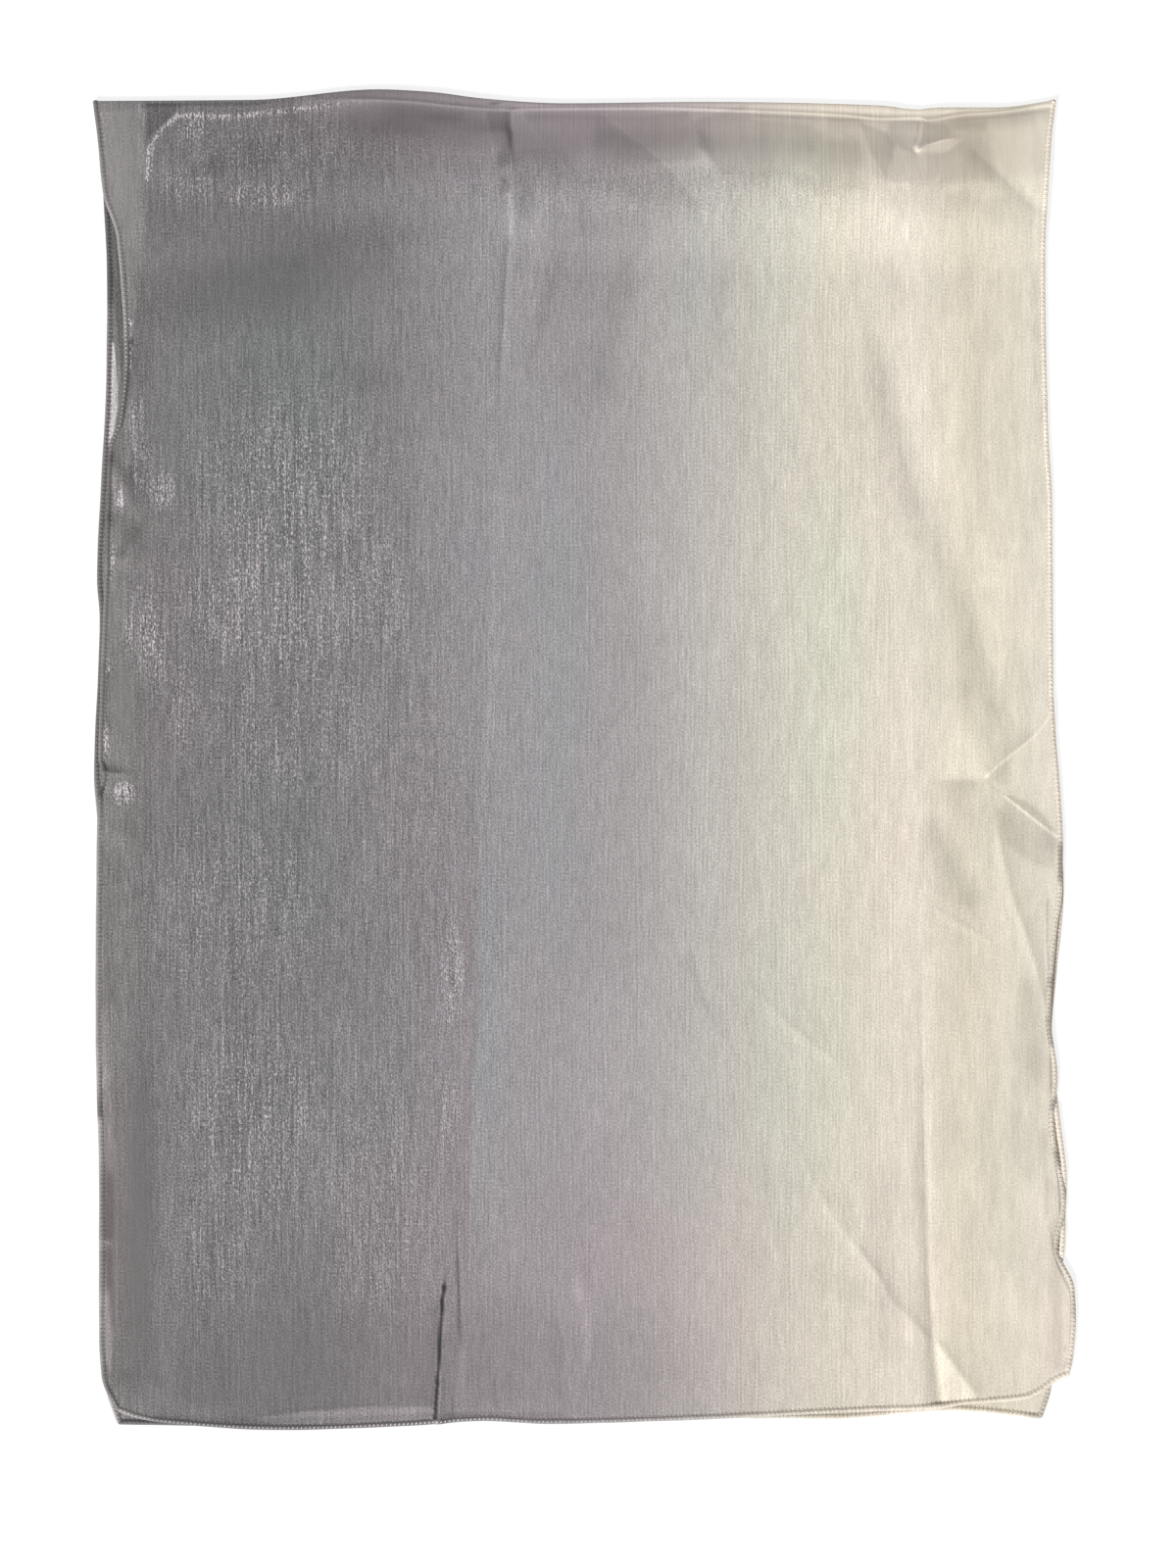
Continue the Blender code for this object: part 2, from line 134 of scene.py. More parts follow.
@dataclass(frozen=True)
class Track:
    """A path on the cloth, with a reach to its left and its right as one looks along it."""

    path: Rows
    left: float
    right: float

    def offsets(self, x: Array, y: Array) -> tuple[Array, Array, float]:
        """Finds where places are beside the path.

        Args:
            x: places across.
            y: places along.

        Returns:
            The signed distance from the path, left of it above nought; the run along it; its length.
        """
        best = np.full(x.shape, np.inf)
        off, run = np.zeros(x.shape), np.zeros(x.shape)
        gone = 0.0
        for (x0, y0), (x1, y1) in zip(self.path, self.path[1:]):
            length = math.hypot(x1 - x0, y1 - y0)
            ux, uy = (x1 - x0) / length, (y1 - y0) / length
            along = (x - x0) * ux + (y - y0) * uy
            held = np.clip(along, 0.0, length)
            away = np.hypot(x - x0 - held * ux, y - y0 - held * uy)
            side = (y - y0) * ux - (x - x0) * uy
            nearer = away < best
            best = np.where(nearer, away, best)
            off = np.where(nearer, np.copysign(away, side), off)
            first, last = gone == 0.0, (x1, y1) == self.path[-1]
            open_ended = np.clip(along, -math.inf if first else 0.0, math.inf if last else length)
            run = np.where(nearer, gone + open_ended, run)
            gone += length
        return off, run, gone

    @staticmethod
    def fade(run: Array, length: float, start: float, stop: float) -> Array:
        """How it dies out towards both ends of the path."""
        return soft_step(run / start) * soft_step((length - run) / stop)

    def near(self, x: Array, y: Array, reach: float) -> Array:
        """Which places are within a reach of the path."""
        off, run, length = self.offsets(x, y)
        return (np.abs(off) < reach) & (run > -reach) & (run < length + reach)


@dataclass(frozen=True)
class Crease(Track):
    """A fold that stands proud of the cloth, or a trough in it, that dies out at its ends."""

    height: float
    start: float
    stop: float
    profile: Profile = Profile.SHARP

    def rise(self, x: Array, y: Array) -> Array:
        """Finds the height that the crease adds.

        Args:
            x: places across.
            y: places along.

        Returns:
            The height at each place.
        """
        off, run, length = self.offsets(x, y)
        fade = self.fade(run, length, self.start, self.stop)
        reach = np.where(off > 0, self.left, self.right) * (0.4 + 0.6 * fade)
        inward = np.clip(1 - np.abs(off) / reach, 0.0, 1.0)
        section = soft_step(inward) if self.profile is Profile.ROUND else inward**1.5
        return self.height * section * fade


@dataclass(frozen=True)
class Shade(Track):
    """A stretch of cloth along a path, its dye painted deeper or paler: mostly painted shade and light."""

    level: float
    left_soft: float = 8.0
    right_soft: float = 8.0
    start: float = 20.0
    stop: float = 20.0

    def share(self, x: Array, y: Array) -> Array:
        """Finds how much of the shade is at each place.

        Args:
            x: places across.
            y: places along.

        Returns:
            The share, from 0 to 1.
        """
        off, run, length = self.offsets(x, y)
        fade = self.fade(run, length, self.start, self.stop)
        narrow = 0.5 + 0.5 * fade
        left = soft_step((self.left * narrow - off) / self.left_soft)
        right = soft_step((self.right * narrow + off) / self.right_soft)
        return left * right * fade


def band(
    path: Rows, half: float, level: float, soft: float = 8.0, start: float = 20.0, stop: float = 20.0
) -> Shade:
    """A shade that is the same on both sides of its path."""
    return Shade(path, half, half, level, soft, soft, start, stop)


@dataclass(frozen=True)
class Facet:
    """A flat facet of the cloth, corners in order round it: mostly painted shade and light on its dye."""

    corners: Rows
    level: float
    soft: float = 2.0

    def share(self, x: Array, y: Array) -> Array:
        """Finds how much of the facet is at each place.

        Args:
            x: places across.
            y: places along.

        Returns:
            The share, from 0 to 1.
        """
        middle_x, middle_y = (sum(places) / len(places) for places in zip(*self.corners))
        inside = np.full(x.shape, np.inf)
        for (x0, y0), (x1, y1) in zip(self.corners, self.corners[1:] + self.corners[:1]):
            length = math.hypot(x1 - x0, y1 - y0)
            side = ((y - y0) * (x1 - x0) - (x - x0) * (y1 - y0)) / length
            facing = math.copysign(1.0, (middle_y - y0) * (x1 - x0) - (middle_x - x0) * (y1 - y0))
            inside = np.minimum(inside, side * facing)
        return soft_step(inside / self.soft + 0.5)

    def near(self, x: Array, y: Array, reach: float) -> Array:
        """Which places are within a reach of its rim."""
        return Track((*self.corners, self.corners[0]), 0.0, 0.0).near(x, y, reach)


@dataclass(frozen=True)
class Patch:
    """An oval part of the cloth, soft at its rim."""

    x: float
    y: float
    across: float
    along: float
    level: float = 1.0

    def share(self, x: Array, y: Array) -> Array:
        """How much of the patch is at each place."""
        away = np.hypot((x - self.x) / self.across, (y - self.y) / self.along)
        return soft_step(1.3 * (1 - away))


class Layer(Enum):
    """The two stretches of the folded cloth."""

    FRONT = "front"
    BACK = "back"


class Side(Enum):
    """The two long sides of the cloth."""

    LEFT = "left"
    RIGHT = "right"

    @property
    def sign(self) -> float:
        """Which way is inward: 1 towards greater x."""
        return 1.0 if self is Side.LEFT else -1.0


@dataclass(frozen=True)
class ClothForm:
    """Where the cloth lies: its outer edges seen from above, and its heights above the floor."""

    front_left: Rows = (
        (479.5, -357.5), (446.5, -353.5), (412, -350), (380, -340), (290, -334), (246.5, -338.5),
        (228.5, -345.5), (132, -349), (54, -352), (0, -353.5), (-10.5, -350.5), (-27, -354), (-196, -355.5),
        (-310, -353), (-418, -353), (-450, -351), (-474, -340.5),
    )
    back_left: Rows = (
        (479.5, -357.5), (446.5, -353.5), (412, -350.5), (340, -347.5), (268, -348.5), (210, -351.5),
        (132, -355), (104, -353), (-10.5, -357), (-54, -354.5), (-196, -355), (-310, -352.5), (-418, -352),
        (-456, -349), (-484.5, -340),
    )
    front_right: Rows = (
        (480, 343.5), (446.5, 339.5), (360, 335.5), (232, 338), (190, 340.5), (54, 341.5), (-68, 348.5),
        (-96, 348), (-122, 344.5), (-188, 339.5), (-230, 344.5), (-262, 342), (-324, 350.5), (-355, 345),
        (-385, 357), (-405, 358), (-433, 356), (-449.5, 353),
    )
    back_right: Rows = (
        (480, 343.5), (446.5, 339.5), (360, 335), (232, 337.5), (54, 341), (-68, 348.5), (-96, 349.5),
        (-153, 344.5), (-196, 341), (-254, 345.5), (-310, 351.5), (-340, 350.5), (-432, 343), (-460, 340),
        (-480.5, 333.5),
    )
    front_end: Rows = (
        (-340.5, -474), (-325, -479.5), (-304.5, -483), (-218.5, -488), (-128.5, -485), (-71.5, -481.5),
        (-28.5, -483.5), (57, -481.5), (205.5, -474.5), (258, -472.5), (280, -469), (300, -467.6),
        (320, -465.6), (330, -462), (340, -455), (346.5, -451), (353, -448.5),
    )
    back_end: Rows = (
        (-340, -484.5), (-278.5, -485.5), (-218, -475.5), (-181.5, -472), (-108.5, -472), (-25, -474.5),
        (74.5, -479.5), (181.5, -480.5), (267, -474.5), (333.5, -480.5),
    )
    fold_line: Rows = (
        (-357.5, 479.2), (-243, 479.9), (-150, 487.6), (-114.5, 486), (-71.5, 480.8), (-14.5, 477.5),
        (85.5, 478.5), (214.5, 476), (243, 473), (257, 474.5), (300, 474.5), (343.5, 480),
    )
    # the old pressed crease, a little below the fold
    pressed_line: Rows = (
        (-357.5, 473), (-300, 474), (-243, 476), (-170, 480), (-128.5, 478.5), (-93, 475), (-64.5, 473),
        (-25.5, 473.5), (50, 474), (103, 472.5), (191.5, 468.5), (216.5, 466), (243.5, 467), (250.5, 465),
        (277, 469.5), (295, 470.5), (341.5, 476.5),
    )
    roll: Rows = (
        (-357.5, 1.4), (-318, 1.5), (-250, 1.7), (-75, 1.7), (-54, 1.4), (-35, 1.6), (215, 1.6), (243, 1.4),
        (262, 1.6), (343.5, 1.4),
    )
    swell: Rows = (
        (-357.5, 0.4), (-318, 1), (-240, 2.4), (-170, 5.6), (-130, 6.6), (-54, 6), (40, 6.8), (230, 6.8),
        (290, 5), (343.5, 1.6),
    )
    back_mid: float = 0.6
    front_mid: float = 3.0
    roll_reach: float = 40.0
    # how far below the fold the swell is highest
    swell_crest: Rows = (
        (-357.5, 34), (-205, 30), (-140, 27), (-56, 24), (-52, 56), (-5, 57), (4, 38), (80, 34), (97, 47),
        (160, 46), (172, 55), (343.5, 55),
    )
    swell_reach: float = 125.0
    curl: float = 2.2
    lowest_front: float = 1.2
    # how far the sheets go in under the hems, and where the roll ends
    tuck: float = 1.6
    roll_end: float = 459.0

    def __post_init__(self) -> None:
        """Makes the curves out of the rows."""
        for name, rows in list(vars(self).items()):
            if isinstance(rows, tuple):
                object.__setattr__(self, f"{name}_at", smooth_curve(rows))

    def edge(self, layer: Layer, side: Side) -> Curve:
        """x of an outer edge, for each y."""
        return getattr(self, f"{layer.value}_{side.value}_at")

    def spread(self, layer: Layer, across: Array, y: Array) -> Array:
        """x of places a share of the way across a sheet, from hem to hem."""
        left, right = (self.edge(layer, side)(y) + self.tuck * side.sign for side in Side)
        return left + (right - left) * across

    def end(self, layer: Layer) -> Curve:
        """y of the end of a stretch, for each x."""
        return getattr(self, f"{layer.value}_end_at")

    def front_base(self, x: Array, y: Array) -> Array:
        """The front stretch without its creases.

        Args:
            x: places across.
            y: places along.

        Returns:
            Its height at each place.
        """
        from_fold = self.fold_line_at(x) - y
        crest = self.swell_crest_at(x)
        climb = np.clip(from_fold / crest, 0.0, 1.0)
        up = 0.6 * climb + 0.4 * soft_step(climb)
        down = soft_step((self.swell_reach - from_fold) / (self.swell_reach - crest))
        return self.front_mid + self.swell_at(x) * up * down

    def front_height(self, x: Array, y: Array) -> Array:
        """The front stretch, with its creases and the start of the roll.

        Args:
            x: places across.
            y: places along.

        Returns:
            The height of its middle at each place.
        """
        lying = sum((crease.rise(x, y) for crease in FRONT_CREASES), self.front_base(x, y))
        radius = self.roll_at(x)
        crest = self.back_mid + 2 * radius
        roll = soft_step(1 - (self.fold_line_at(x) - y - radius) / (self.roll_reach - radius))
        height = np.maximum(lying, self.lowest_front)
        return height + (crest - height) * roll

    def back_height(self, x: Array, y: Array) -> Array:
        """Height of the middle of the back stretch. Its creases are low, as the floor presses them flat."""
        lying = sum((crease.rise(x, y) for crease in BACK_CREASES), np.full(x.shape, self.back_mid))
        return lying + self.back_curl(x, y)

    def back_curl(self, x: Array, y: Array) -> Array:
        """How far the edge of the back curls up off the floor, beyond the edge of the front."""
        stretch = soft_step((y + 385) / 14) * soft_step((-240 - y) / 14)
        return self.curl * stretch * soft_step((x - self.front_right_at(y)) / 4)


PUCKER = ((240, 441), (249, 446.5), (260, 450), (273, 452.5))
LAP = ((250, -105), (262, -114), (280, -124), (300, -136))
FAN = ((242, -100), (245, -170), (247.3, -250), (249, -300), (251, -380), (254, -425), (258.8, -474))
FAN_SIDE = ((156, -369), (180, -382), (205, -390), (222, -395))
FINE_FOLD = ((115, -160), (150, -195), (186, -223))
CORNER_PUFF = ((300, -340), (308, -380), (320, -430))
DYE_EDGE = ((-77.5, -50), (-78.5, -180), (-82, -260), (-87, -470))
FRONT_CREASES = (
    # the long package crease down the left, and the facet in the corner above it
    Crease(((-318.6, 478), (-318.6, 440), (-319.5, 380), (-328, 300)), 30, 26, 1.2, 6, 60),
    Crease(((-318, 420), (-317, 445), (-307, 463), (-295, 471), (-250, 471), (-200, 477)), 5, 40, 1.4, 12,
          50),
    # the dip below the swell on the left
    Crease(((-345, 350), (-290, 352), (-230, 362), (-140, 392)), 20, 50, -1.2, 40, 60, Profile.ROUND),
    # the middle package crease
    Crease(((-52, 420), (-53.5, 400), (-56, 360), (-59.5, 300), (-62, 240), (-66, 190)), 34, 10, -0.8, 30,
          90),
    Crease(((-66, 225), (-72, 60), (-78, -30), (-77, -180), (-82, -260), (-86, -440)), 26, 9, -0.4, 60, 60),
    # soft troughs of slack cloth to the right of it
    Crease(((48, 400), (26, 340), (16, 290), (8, 235)), 50, 26, -1.3, 60, 60, Profile.ROUND),
    Crease(((-2, 395), (-20, 350), (-36, 290), (-40, 250)), 26, 14, -0.9, 30, 60),
    Crease(((118, 375), (103, 345), (98, 280)), 22, 12, -0.7, 30, 40, Profile.ROUND),
    Crease(((136, 380), (125, 320), (123, 210)), 18, 12, -0.6, 40, 60, Profile.ROUND),
    # the pleats that stand at the front end, and the creases beside them
    Crease(((-99.5, -372), (-102.5, -420), (-106.5, -490)), 12, 3, 2.2, 60, 1),
    Crease(((-89, -330), (-87, -395), (-86.5, -470)), 9, 4, 0.7, 40, 20),
    Crease(((-12, -366), (-7, -410), (-5, -470)), 12, 12, 0.8, 40, 20, Profile.ROUND),
    # the left edge, which curls up off the back stretch
    Crease(((-338, 400), (-333, 290), (-336, 225)), 20, 14, 3.4, 60, 50, Profile.ROUND),
    Crease(((-347, 225), (-329, 190), (-316, 172)), 14, 12, 1.4, 10, 16, Profile.ROUND),
    Crease(((-352, 180), (-330, 150), (-312, 146)), 12, 16, 1.2, 10, 16, Profile.ROUND),
    # the kink at the middle of the left edge
    Crease(((-357, -8), (-341, -9), (-326, -12)), 6, 16, 1.3, 2, 18),
    Crease(((-352, -52), (-325, -56)), 14, 12, 1.2, 14, 14, Profile.ROUND),
    # pucker below the fold, near the right corner
    Crease(((246.5, 467), (246, 463), (244.5, 452), (240, 441)), 8, 10, 1.1, 3, 5),
    Crease(PUCKER, 12, 9, 1.1, 4, 10),
    Crease(((240, 441), (232, 442.5), (225, 448), (221, 458)), 8, 12, 0.7, 4, 8),
    Crease(((198, 468), (208, 440), (219, 421), (232, 397)), 30, 16, -0.7, 8, 20),
    Crease(((232, 398), (234, 384), (235, 345)), 8, 9, 0.4, 10, 20),
    Crease(((276, 450), (300, 428), (318, 410), (336, 395)), 30, 16, -0.3, 24, 12),
    # facets in the slope below the fold
    Crease(((12, 468), (40, 447), (62, 428), (84, 402)), 26, 30, -0.5, 12, 14),
    Crease(((76, 465), (84, 445), (97, 428)), 26, 12, 0.4, 10, 8),
    Crease(((158, 440), (168, 418), (182, 400)), 20, 12, -0.4, 12, 12),
    # the long swag that runs down to the star
    Crease(((222, 355), (224, 300), (232, 258), (246, 218), (262, 180), (280, 130), (300, 75), (318, 38)),
          46, 50, -1.3, 90, 40, Profile.ROUND),
    Crease(((302.9, 153.6), (292, 122)), 8, 12, 0.6, 8, 14),
    # the star: arms left, up to the edge and down to the edge, and a long tail
    Crease(((252, -15), (291, -15)), 42, 14, -0.5, 20, 6),
    Crease(((291, -14), (300, -5.5), (312, 4), (322, 12), (330, 19), (336, 27), (345, 44)), 9, 12, 1, 6, 4),
    Crease(((297, -20), (310, -30), (325, -42), (338, -52), (356, -63)), 12, 12, 0.35, 12, 4),
    Crease(((296, -24), (300, -42), (303, -65), (308, -85), (313, -105), (320, -125), (327, -145),
          (333, -168), (348, -222)), 16, 38, 1.3, 30, 40),
    Crease(((337.5, -96), (337, -120), (338, -150), (340, -182)), 6, 3, 0.6, 20, 8),
    Crease(((248, -34), (262, -62), (274, -88), (286, -112)), 18, 18, -1, 26, 26, Profile.ROUND),
    Crease(LAP, 5, 6, 0.3, 14, 14),
    # creases that fan out to the front end, and the puffed corner
    Crease(((241, -60), (244, -150), (247, -240), (248.5, -300), (251, -380), (254, -425), (259, -478)), 24,
          14, -1, 230, 3),
    Crease(((150, -270), (175, -322), (200, -357), (215, -377), (222, -392), (238, -408), (252, -425)), 16,
          18, 0.6, 60, 12),
    Crease(FAN_SIDE, 14, 18, 0.5, 20, 6),
    Crease(((256, -422), (265, -435), (275, -449), (289, -468)), 12, 18, 0.5, 10, 3),
    Crease(((75, -130), (84, -165), (92, -185)), 18, 12, -0.5, 14, 14),
    Crease(((88, -182), (102, -208)), 6, 8, 0.3, 8, 8),
    Crease(FINE_FOLD, 7, 9, 0.3, 14, 10),
    Crease(((318, -210), (312, -260), (300, -330)), 28, 24, -1, 50, 60, Profile.ROUND),
    Crease(CORNER_PUFF, 18, 14, 0.6, 40, 40, Profile.ROUND),
    Crease(((336, -300), (341, -345)), 12, 10, 0.8, 20, 20, Profile.ROUND),
    # the strip along the left edge, low on the front
    Crease(((-341, -205), (-341, -300), (-341.5, -455)), 20, 9, -0.9, 40, 14),
)
BACK_CREASES = (
    Crease(((-318, 440), (-316, -300)), 10, 10, 0.45, 60, 60),
    Crease(((-54, 440), (-60, 60), (-84, -440)), 9, 12, 0.5, 60, 60),
    Crease(((232, 440), (240, 30), (252, -455)), 12, 9, 0.5, 60, 60),
    Crease(((300, -20), (60, -12), (-330, -6)), 10, 10, 0.4, 60, 60),
    Crease(((-180, 15), (-70, 17), (40, 27)), 5, 5, 0.3, 40, 40),
)
# Painted shade and painted light, with some tone of the dye itself: where the sheer cloth lies doubled,
# turns out of the light or catches it, or is drawn thin, its dye is painted darker or paler
PAINTED_SHADE_AND_TONE = (
    # the band under the fold
    Shade(((-210, 456), (-140, 454), (-54, 454)), 27, 0, 0.87, 8, 2, 80, 1),
    Shade(((-230, 430), (-120, 424), (-54, 420)), 34, 30, 0.9, 14, 20, 60, 1),
    Shade(((-180, 446), (-120, 447), (-64, 446)), 14, 12, 0.86, 6, 10, 24, 8),
    Shade(((-218, 474), (-170, 474), (-132, 472)), 8, 14, 1.2, 5),
    Shade(((-280, 440), (-214, 440)), 12, 16, 0.84, 8, 10, 16, 16),
    Facet(((-71, 471), (-53.4, 471), (-53.4, 431), (-62, 429)), 0.82),
    Shade(((-53.4, 472), (-53.6, 431)), 0, 9, 0.84, 0.6, 8, 1, 2),
    Shade(((-61, 446), (-57.5, 408)), 7, 9, 0.8, 2, 7, 10, 6),
    Shade(((-42, 430), (-46, 376)), 12, 10, 0.72, 10, 8, 10, 30),
    Facet(((-61, 422), (-53.6, 422), (-53.6, 409)), 0.8),
    Shade(((-53, 429), (45, 427), (86, 432)), 42, 0, 0.86, 3, 8, 1, 6),
    Shade(((-53, 421), (-4, 420)), 24, 0, 0.92, 3, 2, 1, 14),
    Shade(((-30, 414), (60, 412), (150, 410), (212, 402)), 18, 20, 0.93, 8, 14, 10, 12),
    Shade(((16, 438), (88, 440)), 10, 8, 0.86, 8, 4, 12, 4),
    Shade(((-40, 390), (66, 386)), 14, 18, 0.9, 10, 14, 20, 24),
    band(((-190, 440), (-156, 440)), 8, 0.88, 6, 10, 10),
    Shade(((-286, 430), (-256, 430)), 8, 10, 0.9, 6, 8, 10, 10),
    Facet(((10, 470), (42, 446), (62, 430), (84, 403), (30, 404), (4, 420)), 0.9, 9),
    band(((14, 470), (42, 446), (62, 430), (84, 403)), 1.1, 1.11, 0.9, 2, 14),
    Shade(((76, 464), (84, 440), (97, 422), (150, 418.5), (168, 405.5), (206, 409)), 46, 0, 0.87, 3, 4, 2,
          6),
    Shade(((172, 440), (206, 440)), 30, 14, 0.9, 4, 8, 8, 4),
    Facet(((201, 463), (220, 456), (226, 446), (219, 421), (208, 440)), 0.76, 3),
    Shade(((-54, 404), (60, 396), (200, 392)), 22, 22, 0.96, 16, 18, 10, 60),
    Shade(((218, 417), (302, 418)), 49, 0, 0.84, 6, 1.8, 4, 10),
    Facet(((247, 464), (262, 462), (272, 453), (256, 449), (241, 441)), 0.88, 2.5),
    Facet(((242, 441), (258, 449), (276, 451), (262, 440)), 1.18),
    Shade(((246, 464), (244, 452), (240, 441)), 1.6, 0, 1.35, 1.2, 0.8, 1, 1),
    Shade(((245, 464), (243, 452), (239.5, 443)), -0.4, 3.4, 0.74, 0.8, 3, 1, 1),
    Shade(PUCKER, 0, 1.8, 1.35, 0.8, 1.4, 1, 5),
    Shade(((278, 448), (300, 428), (318, 410), (336, 395)), 0, 14, 0.88, 1.2, 12, 10, 16),
    Facet(((312, 422), (322, 428), (334, 424), (337, 396)), 1.12, 4),
    band(((326, 398), (324, 370), (319, 340), (314, 320)), 2, 0.9, 2, 8, 16),
    band(((331, 378), (329, 352), (326, 326), (329, 296)), 2.5, 0.9, 2, 14, 16),
    band(((331, 350), (332, 320), (333, 290)), 2, 0.9, 2, 14, 16),
    band(((326, 300), (330, 270), (334, 240)), 1.6, 0.9, 1.5, 14, 8),
    band(((298, 137), (308, 146), (316, 160)), 1.5, 1.08, 1.4, 6, 4),
    Facet(((308, 158), (318, 166), (316, 148)), 1.07, 3),
    Shade(((262, 456), (300, 454), (334, 458)), 20, 0, 0.88, 4, 4, 8, 10),
    Shade(((222, 404), (318, 394)), 14, 12, 0.89, 2, 14, 3),
    band(((234, 398), (234.5, 372)), 1.8, 1.18, 1.4, 6, 8),
    band(((234.5, 356), (235, 340)), 1.8, 1.1, 1.4, 5, 5),
    Shade(((-300, 430), (-62, 428)), 12, 10, 0.88, 8, 8, 20, 6),
    Shade(((-330, 388), (-190, 386), (-62, 388)), 22, 20, 0.92, 16, 16, 20, 8),
    Shade(((-262, 446), (-180, 446)), 8, 8, 0.86, 5, 6, 12, 12),
    band(((-120, 467), (-86, 467)), 5, 0.86, 4, 8, 4),
    Shade(((-40, 424), (60, 422), (150, 420)), 14, 16, 0.9, 8, 12, 10),
    Shade(((-50.5, 446), (-51.5, 400)), 4, 2.5, 0.84, 3, 1.5, 10, 8),
    band(((-46, 468), (-20, 436), (-4, 412), (10, 398)), 0.9, 1.08, 0.9, 6, 10),
    band(((74, 468), (84, 449), (95, 430), (106, 414)), 0.9, 1.1, 0.9, 3, 8),
    # the strip between the fold and the pressed crease, and the cloth just below that crease
    Shade(((110, 469.5), (191, 466), (243, 464), (300, 468), (340, 473)), 4.5, 3, 0.84, 2, 2, 20, 4),
    Shade(((-48, 477.5), (80, 476.5), (240, 471.5), (343, 477.5)), 4, 3, 1.14, 2, 1.5, 6, 4),
    Shade(((-52, 477), (-30, 476.5), (0, 477)), 2, 3, 1.14, 1, 1.5, 3, 6),
    Shade(((258, 472), (290, 473.5), (314, 475)), 2, 3, 1.16, 1, 1.5, 6, 8),
    Shade(((-46, 472), (50, 472.4), (103, 470.9), (191, 467), (243, 465), (295, 469), (342, 474)), 0, 12,
          0.82, 1, 9, 6, 4),
    Shade(((-318, 478.5), (-243, 479), (-185, 484)), 2, 5, 0.66, 1, 2.5, 1, 60),
    band(((-66.6, 481.5), (-65.5, 478), (-62.6, 473.5)), 0.9, 0.55, 0.8, 1.5, 2),
    band(((-56.5, 479), (-53.5, 475), (-51, 471.5)), 0.9, 0.6, 0.8, 1.5, 2),
    Facet(((-62, 480), (-57.5, 479), (-52.5, 472), (-60, 471)), 1.14),
    # the corner at the left
    Facet(((-353, 471), (-318.8, 474), (-318.8, 400), (-324, 335), (-335, 284), (-341.5, 340),
          (-348.5, 400)), 1.17, 2.5),
    Facet(((-318.4, 479), (-318.4, 446), (-305, 462), (-292, 474), (-288, 479)), 0.68, 1.5),
    Shade(((-318, 418), (-316.5, 445), (-307, 462.5), (-295, 470), (-250, 469), (-200, 474)), 0, 5, 1.22, 1,
          3, 14, 50),
    Shade(((-330, 330), (-240, 345), (-180, 366), (-100, 398)), 40, 50, 0.86, 38, 48, 50, 70),
    Shade(((-300, 356), (-240, 364), (-190, 378), (-140, 392)), 24, 26, 0.9, 20, 24, 40, 50),
    Shade(((-340, 402), (-250, 412), (-150, 420)), 26, 26, 0.93, 22, 24, 30, 50),
    Facet(((-300, 376), (-321, 318), (-290, 300), (-280, 360)), 0.93, 6),
    band(((-196, 283), (-122, 278)), 19, 0.9, 18, 28, 30),
    Shade(((-331, 318), (-328.5, 290), (-332, 262), (-336, 248)), 4, 6, 0.76, 4, 5, 16, 10),
    Facet(((-343, 384), (-326, 384), (-324, 335), (-332, 288), (-338, 320)), 1.12, 2.5),
    # the middle package crease
    Shade(((-53.5, 402), (-56, 360), (-59.5, 300), (-62, 262)), 4.5, 0, 1.15, 3.5, 1.2, 20, 40),
    Shade(((-53.5, 385), (-56, 360), (-59.5, 300), (-62, 262)), 0, 7, 0.78, 1.2, 6, 14, 30),
    Shade(((-66, 225), (-72, 60), (-78, -30), (-77, -90), (-77, -180), (-82, -260), (-84.5, -330),
          (-87, -450)), 13, 0, 1.055, 11, 1, 60, 10),
    Shade(((-81.5, -255), (-84.5, -330), (-87, -455)), 2.6, 0, 1.1, 2, 1),
    # broad areas painted a little darker or paler
    Patch(60, 400, 200, 130, 0.975), Patch(250, 450, 110, 60, 0.975),
    Shade(((-220, 168), (-214, 60)), 80, 66, 1.11, 50, 46, 40, 40),
    Shade(((-92, 250), (-92, 80)), 20, 14, 1.05, 14, 12, 30, 30),
    band(((262, 170), (268, 60)), 16, 1.055, 12, 30, 24),
    band(((46, 230), (46, 80)), 10, 1.05, 8, 40, 30),
    band(((-46, 388), (-46, 345)), 10, 0.9, 8, 12, 12),
    Shade(((226, 385), (230, 310)), 18, 14, 0.94, 12, 10),
    Shade(((-336, -400), (-336, -482)), 16, 18, 0.94, 8, 8, 10, 1),
    Shade(((270, 352), (272, 200), (268, 40)), 12, 14, 1.09, 10, 10, 40, 30),
    band(((276, -170), (278, -260), (276, -350)), 12, 1.07, 10, 40, 40),
    Shade(((-10, 395), (-14, 300), (-20, 240)), 30, 26, 0.94, 16, 16, 20, 40),
    Shade(((-190, -170), (-195, -260), (-190, -365)), 44, 40, 1.09, 30, 30, 40, 40),
    band(((-322, 70), (-322, -200), (-322, -470)), 10, 0.93, 8, 30, 10),
    Shade(((322, -140), (324, -220), (322, -330)), 16, 14, 0.91, 10, 10, 30, 40),
    Shade(((-58, -370), (-55, -470)), 36, 30, 0.93, 30, 14, 30, 4),
    band(((222, -270), (218, -360), (226, -450)), 16, 0.9, 12, 40),
    Shade(((264, -290), (266, -456)), 14, 12, 1.05, 8, 8, 30, 6),
    Shade(((-280, -350), (-275, -470)), 32, 34, 0.91, 20, 20, 40, 4),
    Shade(((120, 200), (80, 60), (90, -100)), 30, 40, 1.03, 24, 30, 40, 40),
    band(((-112, 254), (-108, 110)), 20, 1.06, 16, 30, 30),
    Shade(((250, 250), (252, 90)), 12, 10, 1.07, 9, 9, 40, 30),
    band(((299, 84), (299, 34)), 9, 1.08, 7, 10, 10),
    band(((-320, 240), (-323, 210), (-327, 186), (-322, 158)), 8, 0.8, 7, 12, 10),
    Shade(((-275, -16), (-275, -94)), 30, 24, 0.93, 16, 16),
    Shade(((344, -326), (346, -448)), 5, 8, 0.86, 4, 6, 14, 6),
